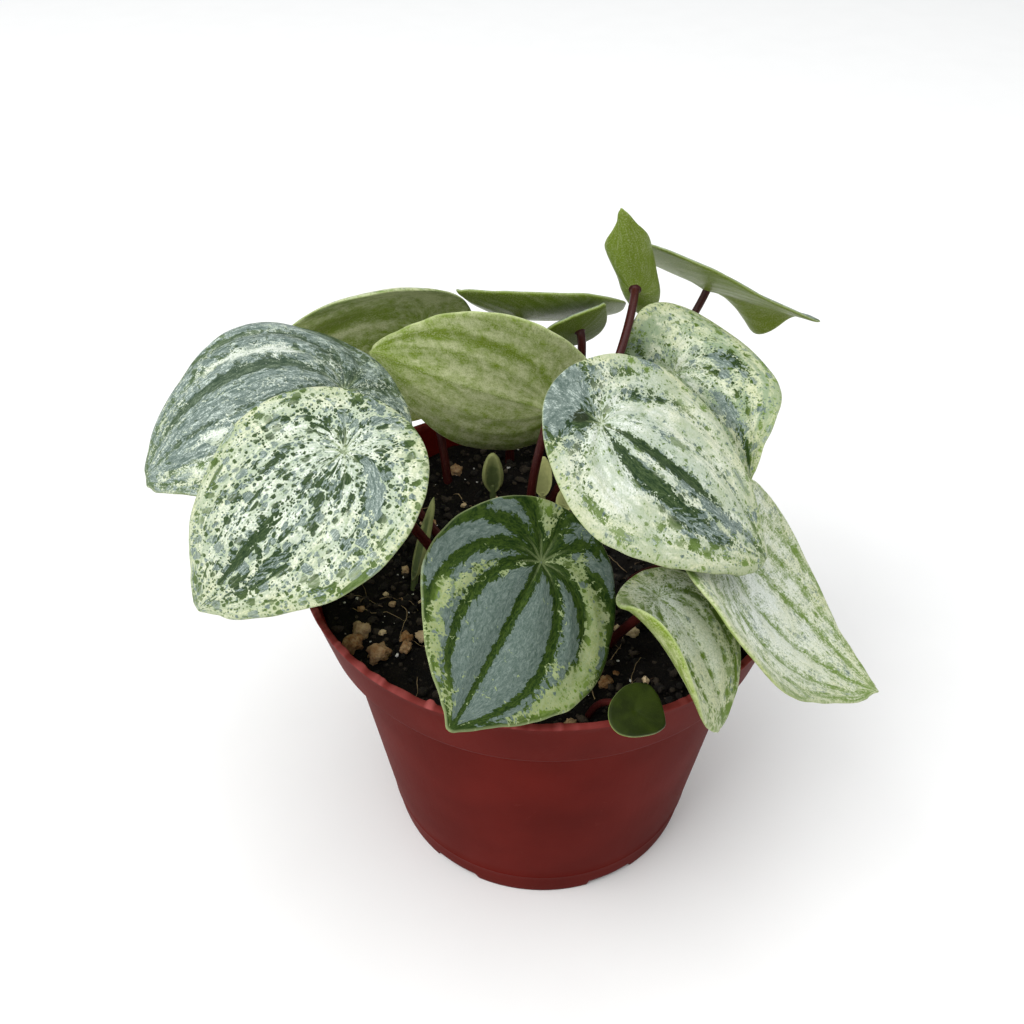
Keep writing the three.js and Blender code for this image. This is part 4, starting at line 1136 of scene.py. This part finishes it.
class PEPEROMIA_OT_pot(bpy.types.Operator):
    """Build the moulded pot with its rim band, seam, foot ring and drain holes"""

    bl_idname = "peperomia.pot"
    bl_label = "Pot"

    def execute(self, context):
        settings = context.scene.peperomia_pot
        profile = pot_profile()
        columns = settings.columns
        burr = settings.lip_burr / MM
        points, lip_sheen_and_nicks = [], []
        for column in range(columns):
            turn = 2 * math.pi * column / columns
            lift = channel_depth(turn) * CHANNEL_LIFT
            round_lip = Vector((math.cos(turn), math.sin(turn), 0))
            wander = noise.noise(round_lip * 9 + Vector((0, 0, 0.3)))
            ragged = noise.fractal(round_lip * 45 + Vector((0, 0, 4.1)), 0.5, 2, 3)
            flash = lip_flash(math.degrees(turn)) + max(0.0, ragged - 0.15)
            # Painted highlight on the lip: every lip point gets some lighter pink, and more where
            # flash and nicks stand
            rubbed = min(1.0, 0.2 + 0.4 * abs(ragged) + 0.4 * flash)
            for radius, z in profile[1:-1]:
                on_lip = z > POT_TOP - LIP_ZONE
                if radius > BASE_RADIUS - FOOT_CORNER:
                    z = max(z, lift) if z < CHANNEL_LIFT else z
                elif z < FLOOR_UNDERSIDE:
                    z = min(max(z, lift), FLOOR_UNDERSIDE)
                if on_lip:
                    z += burr * wander
                if on_lip and radius < RIM_RADIUS - 0.6 * WALL:
                    z += 1.4 * burr * flash
                    radius -= 0.4 * burr * flash
                points.append((radius * math.cos(turn), radius * math.sin(turn), z))
                lip_sheen_and_nicks.append(rubbed if on_lip else 0.0)
        rows = len(profile) - 2
        faces = []
        for column in range(columns):
            ahead = (column + 1) % columns
            for row in range(rows - 1):
                a, b = column * rows + row, ahead * rows + row
                faces.append((a, b, b + 1, a + 1))
        for level, row, flip in ((profile[0][1], 0, True), (profile[-1][1], rows - 1, False)):
            centre = len(points)
            points.append((0, 0, level))
            lip_sheen_and_nicks.append(0.0)
            for column in range(columns):
                a, b = column * rows + row, ((column + 1) % columns) * rows + row
                faces.append((centre, b, a) if flip else (centre, a, b))
        drilled(make_piece(
            "pot_shell", points, faces, {"lip_sheen_and_nicks": lip_sheen_and_nicks}, plastic_material(settings), "pot_plastic",
            ["pot"],
        ))
        return {"FINISHED"}


# Potting mix

def soil_height(x, y):
    """Broad level of the mix, as in the part's source."""
    broad = math.sin(x * 0.19 + 1.3) * math.cos(y * 0.23 - 0.4)
    fine = math.sin(x * 0.61 - y * 0.37) * math.cos(y * 0.53 + x * 0.29 + 2.1)
    return SOIL_LEVEL + 0.7 * (broad + 0.6 * fine)


def soil_top(x, y, relief):
    """Height of the mix with its clods."""
    clods = noise.fractal(Vector((x * 0.35, y * 0.35, 2.0)), 0.9, 2.1, 4)
    return soil_height(x, y) + relief * clods


def lump(centre, size, stretch, seed, level, rough=0.2):
    """A small irregular grain: an icosphere pushed in and out, turned at random."""
    rng = random.Random(seed)
    corners, faces = icosphere(level)
    turn = Matrix.Rotation(rng.uniform(0, 2 * math.pi), 3, "Z")
    tilt = Matrix.Rotation(-rng.uniform(-0.5, 0.5), 3, "Y")
    placed = turn @ tilt @ Matrix.Diagonal(stretch) * (size / 2)
    shift = Vector((seed * 1.7, seed * 0.9, 0))
    points = []
    for corner in corners:
        push = 1 + 0.45 * noise.noise(corner * 1.7 + shift)
        push += rough * noise.fractal(corner * 3.6 + shift, 0.6, 2.2, 3)
        points.append(placed @ corner * push + Vector(centre))
    return np.array(points), faces, {"tone": np.full(len(points), rng.random() ** 2)}


@lru_cache
def icosphere(level):
    """Corners and faces of a unit icosphere, kept for the next grain."""
    mesh = bmesh.new()
    bmesh.ops.create_icosphere(mesh, subdivisions=level, radius=1)
    corners = [v.co.copy() for v in mesh.verts]
    faces = [[v.index for v in f.verts] for f in mesh.faces]
    mesh.free()
    return corners, faces


def grain_size(sizes, chance):
    """Size of a grain, in mm, for a chance from 0 to 1."""
    least, more, rarity = sizes
    return least + more * chance ** rarity


def scattered(count, reach, seed):
    """Seeded places spread evenly over a disc."""
    rng = random.Random(seed)
    places = []
    for _ in range(count):
        radius = reach * math.sqrt(rng.random())
        turn = rng.uniform(0, 2 * math.pi)
        places.append((radius * math.cos(turn), radius * math.sin(turn), rng.random()))
    return places


class PEPEROMIA_OT_soil(bpy.types.Operator):
    """Build the potting mix: a clodded surface with peat crumbs on it"""

    bl_idname = "peperomia.soil"
    bl_label = "Potting mix"

    def execute(self, context):
        settings = context.scene.peperomia_soil
        relief = settings.relief / MM
        rings, columns = SOIL_RINGS, SOIL_COLUMNS
        edge = band_radius(SOIL_LEVEL) - WALL - 0.05
        low = SOIL_LEVEL - SOIL_LAYER
        points = [(0, 0, soil_top(0, 0, relief))]
        for ring in range(1, rings + 2):
            radius = edge * ring / rings if ring <= rings else edge - TOUCH_GAP
            for column in range(columns):
                turn = 2 * math.pi * column / columns
                x, y = radius * math.cos(turn), radius * math.sin(turn)
                points.append((x, y, soil_top(x, y, relief) if ring <= rings else low))
        points.append((0, 0, low))
        bottom = len(points) - 1
        faces = []
        for column in range(columns):
            ahead = (column + 1) % columns
            faces.append((0, 1 + column, 1 + ahead))
            for ring in range(rings):
                a, b = 1 + ring * columns + column, 1 + ring * columns + ahead
                faces.append((a, a + columns, b + columns, b))
            last = 1 + rings * columns
            faces.append((bottom, last + ahead, last + column))
        make_piece("peat_surface", points, faces, {}, peat_material(), "potting_mix", ["soil"])
        parts = []
        for k, (x, y, chance) in enumerate(scattered(settings.crumbs, edge - 1.2, CRUMB_SEED)):
            size = grain_size(CRUMB_SIZE, chance)
            rng = random.Random(k)
            stretch = (1, rng.uniform(0.5, 0.95), rng.uniform(0.45, 0.8))
            parts.append(lump((x, y, soil_top(x, y, relief) + size * 0.12), size, stretch, k, 1))
        crumb = grain_material("dried_peat_crumb", "#0a0907", "#443b30", 0.95)
        make_piece("peat_crumbs", *joined(parts), crumb, "potting_mix")
        return {"FINISHED"}


class PEPEROMIA_OT_grains(bpy.types.Operator):
    """Scatter pumice, perlite and fine roots over the potting mix"""

    bl_idname = "peperomia.grains"
    bl_label = "Grains and roots"

    def execute(self, context):
        settings = context.scene.peperomia_soil
        relief = settings.relief / MM
        reach = band_radius(SOIL_LEVEL) - WALL - 2
        pumice = list(PUMICE)
        for x, y, chance in scattered(settings.pumice, reach, PUMICE_SEED):
            pumice.append((x, y, grain_size(PUMICE_SIZE, chance)))
        parts = []
        for k, (x, y, size) in enumerate(pumice):
            middle = (x, y, soil_top(x, y, relief) + size * 0.2)
            parts.append(lump(middle, size, PUMICE_SHAPE, 500 + k, 3, 0.24))
        stone = grain_material("porous_pumice", "#855c34", "#e6cfa6", 0.9)
        make_piece("pumice_grains", *joined(parts), stone, "potting_mix")
        parts = []
        for k, (x, y, chance) in enumerate(scattered(settings.perlite, reach, PERLITE_SEED)):
            middle = (x, y, soil_top(x, y, relief) + 0.2)
            size = grain_size(PERLITE_SIZE, chance)
            parts.append(lump(middle, size, PERLITE_SHAPE, 900 + k, 1))
        glassy = grain_material("expanded_perlite", "#b9b6ae", "#f4f2ec", 0.7)
        make_piece("perlite_specks", *joined(parts), glassy, "potting_mix")
        parts = []
        for k, (x, y, chance) in enumerate(scattered(settings.fibres, reach - 4, FIBRE_SEED)):
            rng = random.Random(700 + k)
            heading = rng.uniform(0, 2 * math.pi)
            curl = rng.uniform(-0.12, 0.12)
            path = []
            for step in range(FIBRE_STEPS):
                path.append((x, y, soil_top(x, y, relief) + 0.35 + 0.25 * math.sin(step)))
                x += (0.5 + 0.7 * chance) * math.cos(heading)
                y += (0.5 + 0.7 * chance) * math.sin(heading)
                heading += curl + rng.uniform(-0.3, 0.3)
            points, faces, _ = tube(path, np.linspace(0.11, 0.05, FIBRE_STEPS), 6)
            parts.append((points, faces, {"tone": np.full(len(points), chance)}))
        root = grain_material("fine_root", "#3b2a1c", "#a08a66", 0.7)
        make_piece("fine_roots", *joined(parts), root, "potting_mix")
        return {"FINISHED"}


# Plant

class PEPEROMIA_OT_blades(bpy.types.Operator):
    """Build the leaf blades with their veins, quilting and markings"""

    bl_idname = "peperomia.blades"
    bl_label = "Leaf blades"

    def execute(self, context):
        settings = context.scene.peperomia_foliage
        material = leaf_material(settings)
        for seed, (name, entry) in enumerate(LEAVES.items()):
            leaf = prepared(entry)
            share = min(1.0, 0.35 + leaf["length"] / 75)
            rings, spokes = int(settings.rings * share), int(settings.spokes * share)
            parts = blade_parts(leaf, seed + 1, settings, rings, spokes)
            make_piece(f"leaf_{name}", *parts, material, entry["slot"], [f"blade_{name}"])
        return {"FINISHED"}


class PEPEROMIA_OT_stalks(bpy.types.Operator):
    """Build the red leaf stalks from the soil to each blade's navel"""

    bl_idname = "peperomia.stalks"
    bl_label = "Leaf stalks"

    def execute(self, context):
        settings = context.scene.peperomia_foliage
        material = stalk_material(settings)
        for name, entry in LEAVES.items():
            leaf = prepared(entry)
            small = leaf["length"] / USUAL_LENGTH
            path, normal = stalk_path(leaf, 0, STALK_STEPS)
            end = np.array(leaf["navel"]) - normal * (STALK_SINK + settings.dimple / MM * small)
            extra = [path[-1] + (end - path[-1]) * k / 3 for k in (1, 2, 3)]
            path = np.concatenate([path, extra])
            t = np.linspace(0, 1, len(path))
            share = 1 + STALK_FLARE * np.exp(-t / 0.12) - STALK_TAPER * t
            share += STALK_COLLAR * np.exp(-((1 - t) / 0.035) ** 2) * min(1, small * 1.2)
            parts = tube(path, leaf["stalkRadius"] * share, STALK_SIDES)
            make_piece(f"stalk_{name}", *parts, material, "petiole_red", [f"petiole_{name}"])
        return {"FINISHED"}


class PEPEROMIA_OT_sprouts(bpy.types.Operator):
    """Build the pale young leaves between the stalks"""

    bl_idname = "peperomia.sprouts"
    bl_label = "Young leaves"

    def execute(self, context):
        settings = context.scene.peperomia_foliage
        material = sprout_material()
        for seed, (name, entry) in enumerate(SPROUTS.items()):
            leaf = prepared(entry)
            blade = blade_parts(leaf, 40 + seed, settings, SPROUT_RINGS, SPROUT_SPOKES)
            path, _ = stalk_path(leaf, leaf["thickness"] / 2 + STALK_GAP, SPROUT_STEPS)
            share = 1 + 0.2 * np.exp(-np.linspace(0, 1, SPROUT_STEPS) / 0.15)
            stalk = tube(path, SPROUT_STALK_RADIUS * share, SPROUT_SIDES)
            pale = (entry["pale"], 0, 0)
            edge = np.full((len(blade[0]), 3), pale)
            edge[:, 1] = blade[2]["veins"][:, 2]
            plain = np.full((len(stalk[0]), 3), pale)
            parts = joined([(*blade[:2], {"youth": edge}), (*stalk[:2], {"youth": plain})])
            make_piece(f"young_{name}", *parts, material, "young_leaf", [f"sprout_{name}"])
        return {"FINISHED"}


# Stage

class PEPEROMIA_OT_stage(bpy.types.Operator):
    """Set up the pale floor, the soft lights and the camera"""

    bl_idname = "peperomia.stage"
    bl_label = "Stage"

    def execute(self, context):
        settings = context.scene.peperomia_stage
        bpy.ops.mesh.primitive_plane_add(size=FLOOR_SIZE, location=(0, 0, 0))
        floor = context.active_object
        floor.name = "studio_floor"
        material, add = new_material("pale_paper_floor")
        where = add("TexCoord").outputs["Object"]
        fibre = add("TexNoise", {"Vector": where, "Scale": 40.0, "Detail": 5.0})
        paper = add("Mix", {0: fibre, 6: srgb("#f4f4f3"), 7: srgb("#f8f8f7")}, **COLOURS)
        shader = add("BsdfPrincipled", {
            "Base Color": paper, "Roughness": 0.95, "Specular IOR Level": 0.1,
        })
        add("OutputMaterial", {"Surface": shader})
        floor.data.materials.append(material)
        for name, (place, size, power) in LIGHTS.items():
            light = bpy.data.lights.new(name, "AREA")
            light.energy = power
            light.size = size
            lamp = bpy.data.objects.new(name, light)
            lamp.location = place
            ray = Vector(LIT_POINT) - Vector(place)
            lamp.rotation_euler = ray.to_track_quat("-Z", "Y").to_euler()
            context.scene.collection.objects.link(lamp)
        world = bpy.data.worlds.new("soft_daylight")
        world.use_nodes = True
        background = world.node_tree.nodes["Background"]
        background.inputs["Color"].default_value = srgb("#f4f6f8")
        background.inputs["Strength"].default_value = DAYLIGHT
        context.scene.world = world
        context.scene.view_settings.view_transform = "Standard"
        target = Vector(settings.target)
        elevation = settings.camera_elevation
        back = Vector((0, -math.cos(elevation), math.sin(elevation)))
        camera = bpy.data.objects.new("camera", bpy.data.cameras.new("camera"))
        camera.data.lens = settings.lens
        camera.data.sensor_width = SENSOR_WIDTH
        camera.data.clip_start = CLIP_START
        camera.location = target + back * settings.camera_distance
        camera.rotation_euler = (-back).to_track_quat("-Z", "Y").to_euler()
        context.scene.collection.objects.link(camera)
        context.scene.camera = camera
        return {"FINISHED"}


class PEPEROMIA_PT_panel(bpy.types.Panel):
    """Lists the pieces of the plant and their settings"""

    bl_idname = "PEPEROMIA_PT_panel"
    bl_label = "Potted peperomia"
    bl_space_type = "VIEW_3D"
    bl_region_type = "UI"
    bl_category = "Peperomia"

    def draw(self, context):
        for title, settings, operators in SECTIONS:
            box = self.layout.box()
            box.label(text=title)
            group = getattr(context.scene, settings)
            for key in group.__annotations__:
                box.prop(group, key)
            for operator in operators:
                box.operator(operator)


SECTIONS = (
    ("Pot", "peperomia_pot", ("peperomia.pot",)),
    ("Potting mix", "peperomia_soil", ("peperomia.soil", "peperomia.grains")),
    ("Plant", "peperomia_foliage", ("peperomia.blades", "peperomia.stalks", "peperomia.sprouts")),
    ("Stage", "peperomia_stage", ("peperomia.stage",)),
)
GROUPS = {
    "peperomia_pot": PotSettings,
    "peperomia_soil": SoilSettings,
    "peperomia_foliage": FoliageSettings,
    "peperomia_stage": StageSettings,
}
CLASSES = (
    *GROUPS.values(), PEPEROMIA_OT_pot, PEPEROMIA_OT_soil, PEPEROMIA_OT_grains, PEPEROMIA_OT_blades,
    PEPEROMIA_OT_stalks, PEPEROMIA_OT_sprouts, PEPEROMIA_OT_stage, PEPEROMIA_PT_panel,
)


def register():
    """Make the panel, the settings and the operators known."""
    for cls in CLASSES:
        bpy.utils.register_class(cls)
    for name, group in GROUPS.items():
        setattr(bpy.types.Scene, name, bpy.props.PointerProperty(type=group))


def unregister():
    """Take them away again."""
    for name in GROUPS:
        delattr(bpy.types.Scene, name)
    for cls in reversed(CLASSES):
        bpy.utils.unregister_class(cls)


def main():
    """Build the whole scene."""
    register()
    bpy.ops.peperomia.stage()
    bpy.ops.peperomia.pot()
    bpy.ops.peperomia.soil()
    bpy.ops.peperomia.grains()
    bpy.ops.peperomia.blades()
    bpy.ops.peperomia.stalks()
    bpy.ops.peperomia.sprouts()


if __name__ == "__main__":
    main()
